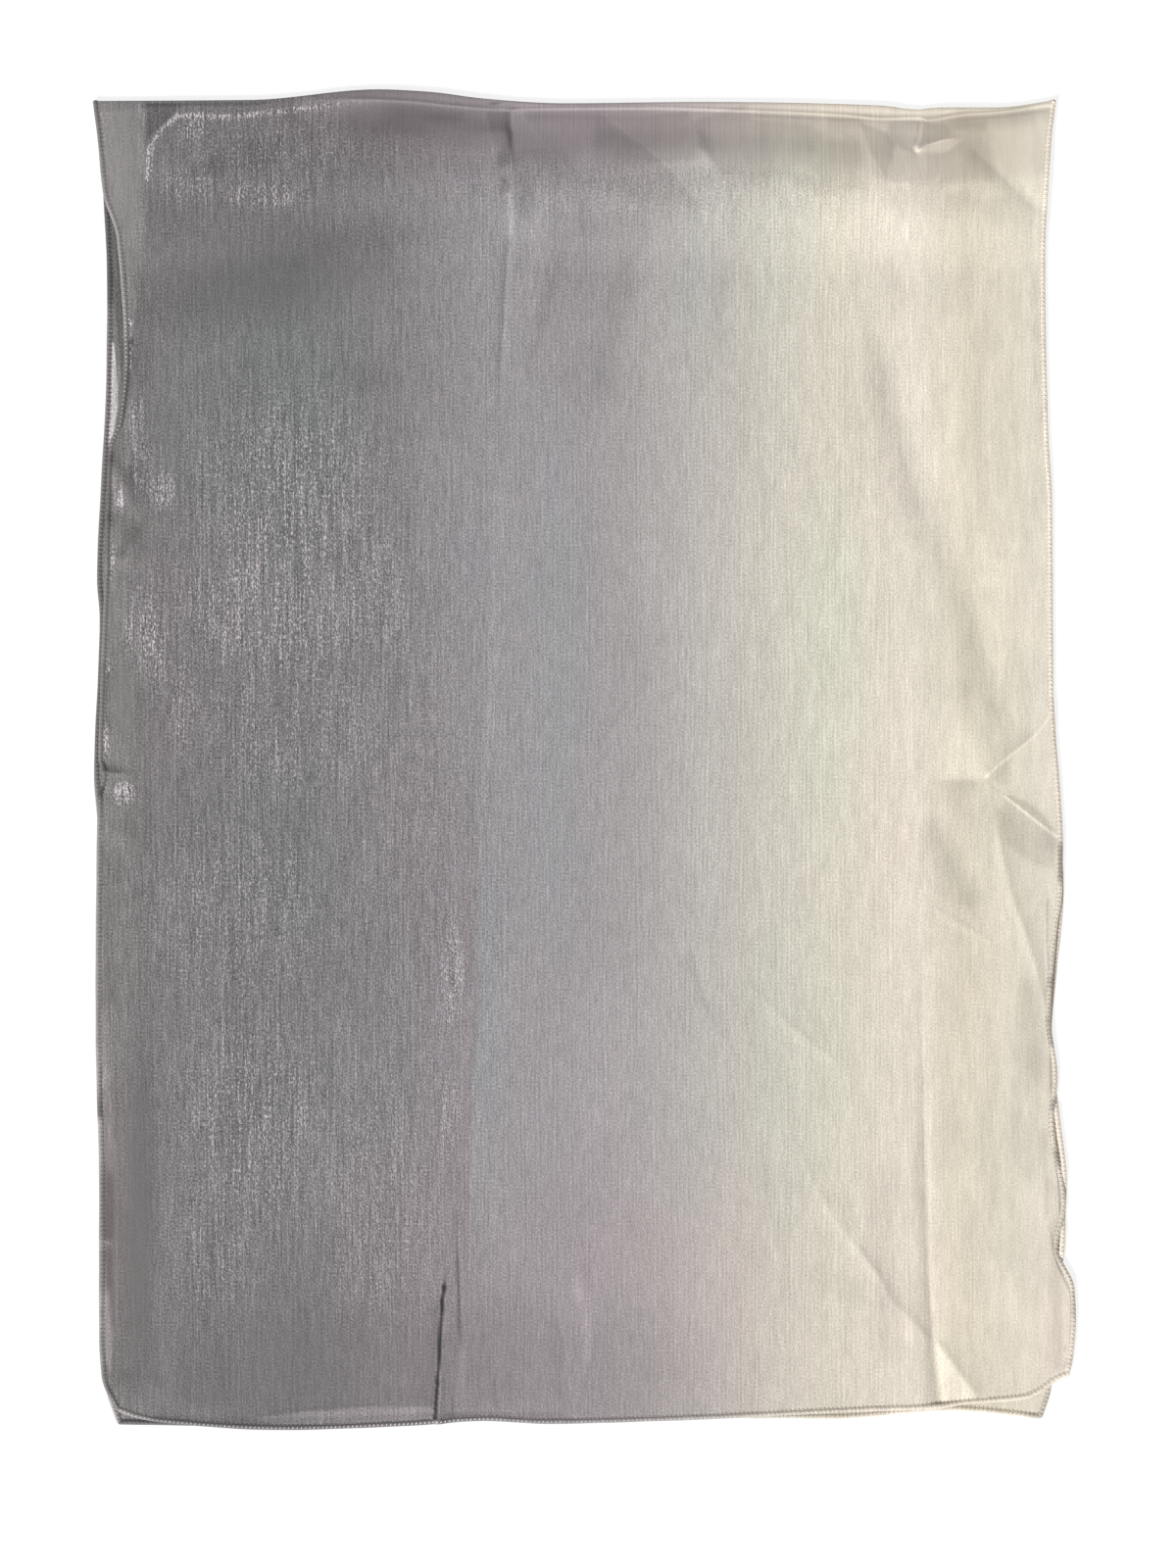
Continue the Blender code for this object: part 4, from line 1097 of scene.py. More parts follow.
@dataclass(frozen=True)
class ShimmerCloth:
    """The sheer cloth's finish: ombre dye, slub yarns, crinkle, grain and painted glints of shimmer yarn."""

    name: str
    dye: Dye = field(default_factory=Dye)
    width: float = 0.70
    roughness: float = 0.5
    sheen: float = 0.12
    slub: float = 0.82
    fine_slub: float = 0.70
    grain: float = 1.25
    crinkle: float = 0.24
    # how many of each go in a metre, across and along
    slub_scale: Scale = (560.0, 16.0)
    yarn_scale: Scale = (760.0, 84.0)
    weave_scale: Scale = (950.0, 640.0)
    crinkle_scale: Scale = (115.0, 24.0)
    cloud_scale: Scale = (9.0, 5.0)
    yarn_end_scale: Scale = (900.0, 330.0)
    bright_row_scale: Scale = (420.0, 18.0)
    dye_scale: Scale = (7.0, 3.5)
    ribs: tuple[tuple[float, float], ...] = ((3.8, 0.052), (2.9, 0.066), (2.3, 0.036))
    glint: float = 0.68
    liveliness: tuple[tuple[float, float], ...] = (
        (0.0, 1.0), (0.30, 0.92), (0.45, 0.68), (0.60, 0.54), (0.78, 0.43), (1.0, 0.30)
    )
    pink: Mixed = (1.04, 0.958, 0.955, 1.0)
    green: Mixed = (0.965, 1.03, 0.99, 1.0)
    # colour of the painted glints
    speck: Colour = (227, 217, 223)

    def build(self) -> bpy.types.Material:
        """Makes the material.

        Returns:
            The material.
        """
        graph = NodeGraph(self.name)
        across = graph.math("DIVIDE", graph.across(), self.width)
        shimmer = graph.attribute(SHIMMER_NAME)
        slip = graph.bundle_slip()
        strength = self.strength(graph, across, shimmer)
        smooth = graph.math("SUBTRACT", 1.0, graph.times(graph.spread(across, 0.28, 0.45), 0.45))
        slubs = graph.times(graph.uneven(graph.noise(self.slub_scale, 1.0, slip), self.slub), smooth)
        yarns = graph.uneven(graph.noise(self.yarn_scale, 0.0, slip), self.fine_slub)
        weave = graph.uneven(graph.noise(self.weave_scale, 0.0), self.grain)
        fine = graph.times(graph.add(slubs, yarns, weave), strength)
        cloudy = graph.uneven(graph.noise(self.cloud_scale, 3.0), 0.10)
        # the crinkle paints shade and light of fine folds into the colour, and is also a bump
        crinkled = graph.times(graph.spread(across, 0.40, 0.75), self.crinkle)
        crinkle = graph.times(graph.uneven(graph.noise(self.crinkle_scale, 2.5), 1.0), crinkled)
        clear = graph.times(graph.spread(across, 0.28, 0.42), graph.spread(across, 0.96, 0.80))
        ribbed = graph.add(*(graph.times(graph.rib(apart), depth) for apart, depth in self.ribs))
        broad = graph.add(cloudy, crinkle, graph.times(ribbed, clear))
        level = graph.math("EXPONENT", graph.add(fine, broad), 0.0)
        # the stored painted shade and light darken or lighten the dye
        dyed = graph.brighten(self.tinted(graph, across), graph.times(level, graph.attribute(PAINTED_SHADE_AND_TONE_NAME)))

        # painted glints: pale spots, where the shimmer yarn would catch the light, mixed into the colour
        yarn_ends = graph.noise(self.yarn_end_scale, 1.0)
        rows = graph.uneven(graph.noise(self.bright_row_scale, 1.0, slip), 0.6)
        crowd = graph.add(yarn_ends, rows, graph.times(shimmer, 0.09))
        glint_spots = graph.times(graph.spread(crowd, 0.65, 0.84), graph.spread(shimmer, 0.0, 0.9))
        glints = graph.times(glint_spots, strength)
        colour = graph.mix(graph.math("MULTIPLY", glints, self.glint, clamp=True), dyed, linear(self.speck))
        graph.feed(graph.shader.inputs["Base Color"], colour)
        rough = graph.math("SUBTRACT", self.roughness, graph.times(glints, 0.2))
        graph.feed(graph.shader.inputs["Roughness"], rough)
        graph.shader.inputs["Sheen Weight"].default_value = self.sheen
        graph.shader.inputs["Sheen Roughness"].default_value = 0.4
        graph.shader.inputs["Specular IOR Level"].default_value = 0.35
        graph.bump(graph.add(fine, crinkle), 0.0004, 0.6)
        return graph.material

    def tinted(self, graph: NodeGraph, across: Socket) -> Socket:
        """The ombre dye, with its pink and green casts.

        Args:
            graph: the material's nodes.
            across: share of the way across the cloth.

        Returns:
            The colour's socket.
        """
        stops = [(place, linear(colour)) for place, colour in self.dye.stops]
        base = graph.ramp(graph.add(across, graph.uneven(graph.noise(self.dye_scale, 3.0), 0.03)), stops)
        shot = graph.add(graph.attribute(TINT_NAME), graph.noise(self.cloud_scale, 2.0))
        casts = (graph.mix(1.0, base, cast, "MULTIPLY") for cast in (self.green, self.pink))
        return graph.mix(graph.spread(shot, -0.5, 1.5), *casts)

    def strength(self, graph: NodeGraph, across: Socket, shimmer: Socket) -> Socket:
        """How strongly the yarns show: most on the dark side, less where the cloth is quiet.

        Args:
            graph: the material's nodes.
            across: share of the way across the cloth.
            shimmer: how much the cloth shimmers.

        Returns:
            The strength's socket.
        """
        greys = [(place, (level, level, level, 1.0)) for place, level in self.liveliness]
        calm = graph.math("SUBTRACT", 1.0, graph.times(graph.attribute(QUIET_NAME), 0.72))
        lively = graph.add(0.75, graph.times(shimmer, 0.53))
        return graph.times(graph.ramp(across, greys), graph.times(lively, calm))


@dataclass(frozen=True)
class HemFinish:
    """The finish of the rolled edge and of its thread: the dye of the cloth beside it, deeper."""

    name: str
    paleness: float
    cast: Colour
    dye: Dye = field(default_factory=Dye)
    width: float = 0.70
    roughness: float = 0.6

    def build(self) -> bpy.types.Material:
        """Makes the material.

        Returns:
            The material.
        """
        graph = NodeGraph(self.name)
        dyed = [(place, np.array(linear(colour)) * (*self.cast, 1.0)) for place, colour in self.dye.stops]
        base = graph.ramp(graph.math("DIVIDE", graph.across(), self.width), dyed)
        fibres = graph.noise((900.0, 700.0), 3.0)
        patchy = graph.add(self.paleness, graph.uneven(graph.noise((60.0, 60.0), 2.0), 0.3))
        # the hem's own tone times the stored painted shade and light
        toned = graph.times(graph.add(graph.uneven(fibres, 0.6), patchy), graph.attribute(PAINTED_SHADE_AND_TONE_NAME))
        graph.feed(graph.shader.inputs["Base Color"], graph.brighten(base, toned))
        rough = graph.add(self.roughness - 0.08, graph.times(fibres, 0.16))
        graph.feed(graph.shader.inputs["Roughness"], rough)
        graph.shader.inputs["Sheen Weight"].default_value = 0.1
        graph.bump(fibres, 0.0003, 0.5)
        return graph.material


def deselect() -> None:
    """Leaves nothing selected, so that an operator works on its own piece alone."""
    if bpy.context.object and bpy.context.object.mode != "OBJECT":
        bpy.ops.object.mode_set(mode="OBJECT")
    bpy.ops.object.select_all(action="DESELECT")


def new_grid(name: str, columns: int, rows: int) -> Piece:
    """A unit square of cells, to be bent into shape.

    Args:
        name: the piece's name.
        columns: cells across.
        rows: cells along.

    Returns:
        The piece, selected and active.
    """
    deselect()
    bpy.ops.mesh.primitive_grid_add(x_subdivisions=columns, y_subdivisions=rows, size=1.0)
    piece = bpy.context.object
    piece.name = piece.data.name = name
    return piece


def shares(piece: Piece) -> tuple[Array, Array]:
    """Finds where each point of a unit square is.

    Args:
        piece: the square.

    Returns:
        The shares across and along, from 0 to 1.
    """
    flat = np.empty(len(piece.data.vertices) * 3)
    piece.data.vertices.foreach_get("co", flat)
    flat = flat.reshape(-1, 3)
    return flat[:, 0] + 0.5, flat[:, 1] + 0.5


def bend(piece: Piece, points: Array) -> None:
    """Moves the points of a piece to places in millimetres."""
    piece.data.vertices.foreach_set("co", (points * MM).ravel())
    piece.data.update()


def store_place(piece: Piece, x: Array, run: Array) -> None:
    """Stores where each point is on the flat cloth, in metres across and along it.

    Args:
        piece: the piece.
        x: place across, in millimetres from the middle.
        run: place along, in millimetres.
    """
    mesh = piece.data
    for layer in list(mesh.uv_layers):
        mesh.uv_layers.remove(layer)
    layer = mesh.uv_layers.new(name=UV_NAME)
    corners = np.empty(len(mesh.loops), int)
    mesh.loops.foreach_get("vertex_index", corners)
    layer.data.foreach_set("uv", (np.stack([x + FROM_RIM, run], axis=-1)[corners] * MM).ravel())


def store_number(piece: Piece, name: str, values: Array) -> None:
    """Stores a number at each point of a piece."""
    stored = piece.data.attributes.new(name, "FLOAT", "POINT")
    stored.data.foreach_set("value", values)


def halve_cells(piece: Piece, close: Array) -> None:
    """Halves the cells that have a corner among the close ones.

    Args:
        piece: the sheet.
        close: whether each of its vertices is close to something fine.
    """
    mesh = piece.data
    flags = [any(close[i] for i in face.vertices) for face in mesh.polygons]
    mesh.vertices.foreach_set("select", np.zeros(len(mesh.vertices), bool))
    mesh.edges.foreach_set("select", np.zeros(len(mesh.edges), bool))
    mesh.polygons.foreach_set("select", flags)
    bpy.ops.object.mode_set(mode="EDIT")
    bpy.ops.mesh.select_mode(type="FACE")
    bpy.ops.mesh.subdivide(number_cuts=1)
    bpy.ops.object.mode_set(mode="OBJECT")


def turn_outward() -> None:
    """Turns all faces of the active piece outwards."""
    bpy.ops.object.mode_set(mode="EDIT")
    bpy.ops.mesh.select_all(action="SELECT")
    bpy.ops.mesh.normals_make_consistent(inside=False)
    bpy.ops.object.mode_set(mode="OBJECT")


def give_wall(piece: Piece, thickness: float) -> None:
    """Turns the active sheet into a thin closed shell.

    Args:
        piece: the sheet.
        thickness: in millimetres.
    """
    wall = piece.modifiers.new("wall", "SOLIDIFY")
    wall.thickness = thickness * MM
    wall.offset = 0.0
    bpy.ops.object.modifier_apply(modifier=wall.name)
    bpy.ops.object.shade_smooth_by_angle(angle=math.radians(50))


@dataclass
class ClothFront:
    """The front stretch, with the cloth that rolls over the fold."""

    form: ClothForm
    finish: ShimmerCloth
    cell: float = 6.4
    near: float = 5.0
    close: float = 1.6
    closest: float = 1.2
    thickness: float = 0.3
    arc_rows: int = 8
    # shares of the way over the lip, and down the front, of the close rows by the fold
    lip_rows: tuple[float, ...] = (0.3, 0.55, 0.75, 0.87, 0.94, 1.0)
    first_rows: tuple[float, ...] = (0.0008, 0.0017, 0.0032, 0.0060, 0.0105, 0.0165)
    crease_height: float = 0.5
    crease_reach: float = 2.0
    # a painted highlight along the pressed crease, and painted light on the roll
    crease_pale: float = 0.22
    roll_pale: float = 0.80

    def rows(self) -> tuple[Array, Array, Array]:
        """Stations along the cloth, one for each row of points.

        Returns:
            How far round the roll, over the lip and down the front each one is.
        """
        turning = np.append(-1.0, np.linspace(0.0, 1.0, self.arc_rows + 1))
        *close, first = self.first_rows
        front = np.append(close, np.linspace(first, 1.0, round(LONG / self.cell)))
        turn = np.append(turning, np.ones(len(self.lip_rows) + len(front)))
        over = np.concatenate([np.zeros(len(turning)), self.lip_rows, np.ones(len(front))])
        below = np.append(np.zeros(len(turning) + len(self.lip_rows)), front)
        return turn, over, below

    def place(self, across: Array, along: Array) -> tuple[Array, ...]:
        """Turns shares across and along the sheet into places in the object.

        Args:
            across: 0 at the left hem, 1 at the right one.
            along: 0 under the fold, 1 at the front end.

        Returns:
            x, y and z, the run along the flat cloth and how far round the roll it is, at each place.
        """
        form = self.form
        stations = self.rows()
        count = np.arange(len(stations[0]))
        turn, over, below = (np.interp(along * count[-1], count, station) for station in stations)
        x = across * WIDE + FIRST_X
        for _ in range(4):
            radius = form.roll_at(x)
            top = form.fold_line_at(x) - radius
            leg_y = top + (form.roll_end - top) * -turn
            arc_y = np.where(turn < 0, leg_y, top + radius * np.sin(math.pi * np.clip(turn, 0, 1)))
            pressed = form.pressed_line_at(x)
            lip_y = top + (pressed - top) * over
            front_y = pressed + (form.front_end_at(x) + form.tuck - pressed) * below
            y = np.where(below > 0, front_y, np.where(over > 0, lip_y, arc_y))
            x = form.spread(Layer.FRONT, across, y)
        arc_z = form.back_mid + radius - radius * np.cos(math.pi * np.clip(turn, 0, 1))
        z = np.where((over > 0) | (below > 0), self.height(x, y), arc_z)
        return x, y, z, np.where(turn < 0.5, y + BACK_RUN, FRONT_RUN - y), turn

    def height(self, x: Array, y: Array) -> Array:
        """The front, with the thin old crease below the fold.

        Args:
            x: places across.
            y: places along.

        Returns:
            Its height at each place.
        """
        off = np.abs(y - self.form.pressed_line_at(x)) / self.crease_reach
        crease = self.crease_height * self.pressed_at(x) * np.clip(1 - off, 0, 1)
        return self.form.front_height(x, y) + crease

    @staticmethod
    def pressed_at(x: Array) -> Array:
        """How well the pressed crease below the fold shows, across the cloth."""
        return soft_step((x + 215) / 60) * (1 - 0.35 * soft_step((x + 90) / 30) * soft_step((-20 - x) / 30))

    def depth(self, x: Array, y: Array, turn: Array) -> Array:
        """Painted shade and light: a painted highlight on the pressed crease and painted light on the roll.

        Args:
            x: places across.
            y: places along.
            turn: how far round the roll each place is.

        Returns:
            How much darker or paler it is painted, about 1.
        """
        front = painted_shade_and_tone_of(PAINTED_SHADE_AND_TONE, x, y)
        off = np.abs(y - self.form.pressed_line_at(x)) / 1.1
        # a painted highlight along the pressed crease
        painted_light_level = 1 + self.crease_pale * self.pressed_at(x) * np.clip(1.4 - off, 0, 1)
        # painted light on the roll, and the painted shades on the front
        return np.where(turn < 1, 1 + self.roll_pale * np.sin(math.pi * np.clip(turn, 0, 1)), front * painted_light_level)

    def refine(self, piece: Piece, lines: list[Track | Facet], reach: float) -> None:
        """Halves the cells that lie close to some lines.

        Args:
            piece: the sheet, still a unit square.
            lines: the lines.
            reach: how close, in millimetres.
        """
        across, along = shares(piece)
        x, y = self.place(across, 1 - along)[:2]
        close = np.zeros(len(x), bool)
        for line in lines:
            close |= line.near(x, y, reach)
        close &= y < self.form.pressed_line_at(x) - 3
        halve_cells(piece, close)

    def build(self) -> Piece:
        """Makes the sheet and gives it its finish.

        Returns:
            The sheet.
        """
        piece = new_grid("cloth_front", round(WIDE / self.cell), len(self.rows()[0]) - 1)
        for reach in (self.near, self.close):
            self.refine(piece, crisp_lines(), reach)
        self.refine(piece, finest_lines(), self.closest)
        across, along = shares(piece)
        x, y, z, run, turn = self.place(across, 1 - along)
        bend(piece, np.stack([x, y, z], axis=-1))
        turn_outward()
        store_place(piece, x, run)
        for name, areas in ((SHIMMER_NAME, SHIMMER), (QUIET_NAME, QUIET)):
            store_number(piece, name, np.max([area.level * area.share(x, y) for area in areas], axis=0))
        # painted shade and light, with some tone of the dye, stored for the colour
        store_number(piece, PAINTED_SHADE_AND_TONE_NAME, self.depth(x, y, turn))
        store_number(piece, TINT_NAME, sum(area.level * area.share(x, y) for area in TINTS))
        piece.data.materials.append(self.finish.build())
        give_wall(piece, self.thickness)
        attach(piece, "root")
        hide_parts("front_panel", "top_fold")
        return piece


@dataclass
class ClothBack:
    """The back stretch, flat on the floor."""

    form: ClothForm
    finish: ShimmerCloth
    cell: float = 7.0
    length: float = 940.0
    thickness: float = 0.3

    def place(self, across: Array, along: Array) -> tuple[Array, Array]:
        """Turns shares across and up the sheet into places in the object.

        Args:
            across: 0 at the left hem, 1 at the right one.
            along: 0 at the back end, 1 under the fold.

        Returns:
            x and y of each place.
        """
        form = self.form
        x = across * WIDE + FIRST_X
        for _ in range(4):
            y = form.roll_end + (form.back_end_at(x) + form.tuck - form.roll_end) * (1 - along)
            x = form.spread(Layer.BACK, across, y)
        return x, y

    def build(self) -> Piece:
        """Makes the sheet and gives it its finish.

        Returns:
            The sheet.
        """
        form = self.form
        piece = new_grid("cloth_back", round(WIDE / self.cell), round(self.length / self.cell))
        for _ in range(3):
            x, y = self.place(*shares(piece))
            shows_left = (x < -333) & (y > 218) & (y < 418)
            shows_right = (x > 337) & (y > -390) & (y < -235)
            halve_cells(piece, shows_left | shows_right)
        x, y = self.place(*shares(piece))
        bend(piece, np.stack([x, y, form.back_height(x, y)], axis=-1))
        store_place(piece, x, y + BACK_RUN)
        for name, level in ((SHIMMER_NAME, 0.3), (QUIET_NAME, 0.3), (TINT_NAME, 0.0)):
            store_number(piece, name, np.full(len(x), level))
        # painted shadow in the gap and painted light on the pale sliver and by the right edge, stored for
        # the colour
        store_number(piece, PAINTED_SHADE_AND_TONE_NAME, painted_shade_and_tone_of(BACK_PAINTED_SHADE, x, y))
        piece.data.materials.append(self.finish.build())
        give_wall(piece, self.thickness)
        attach(piece, "root")
        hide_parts("back_panel")
        return piece


class BeadHeap:
    """Many copies of one bead, gathered into one mesh."""

    def __init__(self) -> None:
        """Models the bead, one millimetre wide, with its faces in a settled order."""
        deselect()
        bpy.ops.mesh.primitive_uv_sphere_add(segments=6, ring_count=4, radius=0.5)
        bead = bpy.context.object
        self.shape = np.array([vertex.co for vertex in bead.data.vertices])
        loops = [(tuple(face.vertices), min(face.vertices)) for face in bead.data.polygons]
        self.faces = sorted(loop[loop.index(low):] + loop[:loop.index(low)] for loop, low in loops)
        bpy.data.objects.remove(bead)
        self.copies: list[tuple[int, float, Array]] = []

    def add(self, slot: int, depth: float, centre: Array, *axes: Array) -> None:
        """Adds a copy, stretched along three directions.

        Args:
            slot: which of the heap's finishes it has.
            depth: how much darker or paler its dye is painted, its own tone with painted shade and light.
            centre: its middle, in millimetres.
            axes: the three directions, each as long as the copy is along it.
        """
        self.copies.append((slot, depth, centre + self.shape @ np.array(axes)))

    def join(self, name: str) -> Piece:
        """Makes one piece of all copies.

        Args:
            name: the piece's name.

        Returns:
            The piece, selected and active.
        """
        slots, painted_levels, clouds = zip(*self.copies)
        cloud = np.concatenate(clouds)
        starts = range(0, len(cloud), len(self.shape))
        polygons = [[start + i for i in face] for start in starts for face in self.faces]
        mesh = bpy.data.meshes.new(name)
        mesh.from_pydata((cloud * MM).tolist(), [], polygons)
        mesh.polygons.foreach_set("material_index", np.repeat(slots, len(self.faces)))
        piece = bpy.data.objects.new(name, mesh)
        bpy.context.scene.collection.objects.link(piece)
        store_place(piece, cloud[:, 0], cloud[:, 1])
        # painted shade and light of each copy, with its own tone
        store_number(piece, PAINTED_SHADE_AND_TONE_NAME, np.repeat(painted_levels, len(self.shape)))
        deselect()
        piece.select_set(True)
        bpy.context.view_layer.objects.active = piece
        turn_outward()
        bpy.ops.object.shade_smooth()
        return piece


@dataclass
class RolledHem:
    """A rolled edge with its overcast stitching, along a path."""

    name: str
    stands_for: str
    path: Array
    inward: Array
    # the tones are each part's own tone with painted shade and light; rim is painted light on the outer side
    # of the roll
    tones: Array
    rim: float
    finish: bpy.types.Material
    thread: bpy.types.Material
    seam_thread: bpy.types.Material
    half_width: float = 1.8
    half_thickness: float = 0.55
    sides: int = 10
    pitch: float = 3.1
    pinch: float = 0.12
    stitch_length: float = 2.3
    stitch_width: float = 0.95
    seam_length: float = 1.9
    seam_width: float = 0.42

    def runs(self) -> Array:
        """How far along the path each of its points is."""
        return np.append(0.0, np.cumsum(np.linalg.norm(np.diff(self.path, axis=0), axis=1)))

    def along_path(self, run: Array, values: Array) -> Array:
        """Columns of values at the path's points, at other runs along it."""
        return np.stack([np.interp(run, self.runs(), column) for column in values.T], axis=-1)

    def frames(self, step: float) -> tuple[Array, Array, Array, Array, Array]:
        """Goes along the path in equal steps.

        Args:
            step: in millimetres.

        Returns:
            The run, the middle, and the directions along, inward and up, at each station.
        """
        length = self.runs()[-1]
        run = np.linspace(0.0, length, max(2, round(length / step)) + 1)
        edge, inward = (self.along_path(run, values) for values in (self.path, self.inward))
        ahead = np.gradient(edge, axis=0)
        ahead /= np.linalg.norm(ahead, axis=1, keepdims=True)
        inward -= ahead * np.sum(ahead * inward, axis=1, keepdims=True)
        inward /= np.linalg.norm(inward, axis=1, keepdims=True)
        return run, edge + inward * self.half_width, ahead, inward, np.cross(ahead, inward)

    def wobble(self, run: Array) -> Array:
        """The slight unevenness of a hem rolled by machine and washed."""
        return 0.5 * np.sin(run / 7.3 + len(self.name)) + 0.5 * np.sin(run / 17.9 + 2)

    def roll(self) -> Piece:
        """Makes the rolled cloth.

        Returns:
            The piece, closed at both ends.
        """
        run, middle, _, inward, up = self.frames(self.pitch / 4)
        piece = new_grid(self.name, self.sides, len(run) - 1)
        across, along = shares(piece)
        station = np.rint(along * (len(run) - 1)).astype(int)
        angle = across * 2 * math.pi
        tight = 1 - self.pinch * (0.5 + 0.5 * np.cos(2 * math.pi * run[station] / self.pitch))
        uneven = 1 + 0.07 * self.wobble(run[station])
        ends = np.minimum(run[station], run[-1] - run[station]) / self.half_width
        closing = np.sqrt(np.clip(1 - (1 - np.clip(ends, 0.05, 1)) ** 2, 0, 1))
        wide = self.half_width * uneven * closing * np.cos(angle)
        thick = self.half_thickness * tight * uneven * closing * np.sin(angle)
        points = middle[station] + inward[station] * wide[:, None] + up[station] * thick[:, None]
        bend(piece, points)
        store_place(piece, points[:, 0], run[station])
        # painted shade and light along the hem, with painted light on the outer side of the roll
        tone = self.along_path(run[station], self.tones)[:, 0]
        store_number(piece, PAINTED_SHADE_AND_TONE_NAME, tone * (1 + self.rim * np.clip(0.3 - np.cos(angle), 0, 1)))
        bpy.ops.object.mode_set(mode="EDIT")
        bpy.ops.mesh.select_mode(type="VERT")
        bpy.ops.mesh.select_all(action="SELECT")
        bpy.ops.mesh.remove_doubles(threshold=1e-6)
        bpy.ops.mesh.select_all(action="DESELECT")
        bpy.ops.mesh.select_non_manifold()
        bpy.ops.mesh.edge_face_add()
        turn_outward()
        bpy.ops.object.shade_smooth()
        piece.data.materials.append(self.finish)
        return piece

    def stitches(self) -> Piece:
        """Makes the overcast stitches on the roll and the seam stitches beside it.

        Returns:
            One piece of them all.
        """
        run, middle, ahead, inward, up = self.frames(self.pitch)
        tones = self.along_path(run, self.tones)
        heap = BeadHeap()
        for i in range(1, len(run) - 1):
            lean = 0.55 + 0.1 * math.sin(i * 2.4)
            over = inward[i] * math.cos(lean) + ahead[i] * math.sin(lean)
            beside = np.cross(over, up[i])
            # the tones of stitch and seam are their own tone with painted shade and light; each stitch
            # varies a little at random
            painted_light_level = tones[i, 1] * (1 + 0.18 * math.sin(i * 3.7) * math.sin(i * 1.3))
            stitch = (over * self.stitch_length, beside * self.stitch_width, up[i] * self.stitch_width * 0.8)
            seam = (ahead[i] * self.seam_length, inward[i] * self.seam_width, up[i] * self.seam_width * 0.9)
            for face_up in (1.0, -1.0):
                heap.add(0, painted_light_level, middle[i] + up[i] * face_up * self.half_thickness * 0.86, *stitch)
                seam_middle = middle[i] + inward[i] * (self.half_width + 0.25) + up[i] * face_up * 0.28
                heap.add(1, tones[i, 2], seam_middle, *seam)
        piece = heap.join(f"{self.name}_stitches")
        piece.data.materials.append(self.thread)
        piece.data.materials.append(self.seam_thread)
        return piece

    def build(self) -> tuple[Piece, Piece]:
        """Makes the hem and its stitches, and puts them on the object.

        Returns:
            The two pieces.
        """
        rolled, stitched = self.roll(), self.stitches()
        for piece in (rolled, stitched):
            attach(piece, "root")
        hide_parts(self.stands_for)
        return rolled, stitched


@dataclass(frozen=True)
class HemToneAndShade:
    """A hem's tone with painted shade and light: for each place, its roll, its stitches and its seam."""

    rows: tuple[tuple[float, float, float, float], ...]

    def at(self, place: Array) -> Array:
        """The three levels at each place."""
        rows = np.array(sorted(self.rows))
        return np.stack([np.interp(place, rows[:, 0], rows[:, part]) for part in (1, 2, 3)], axis=-1)


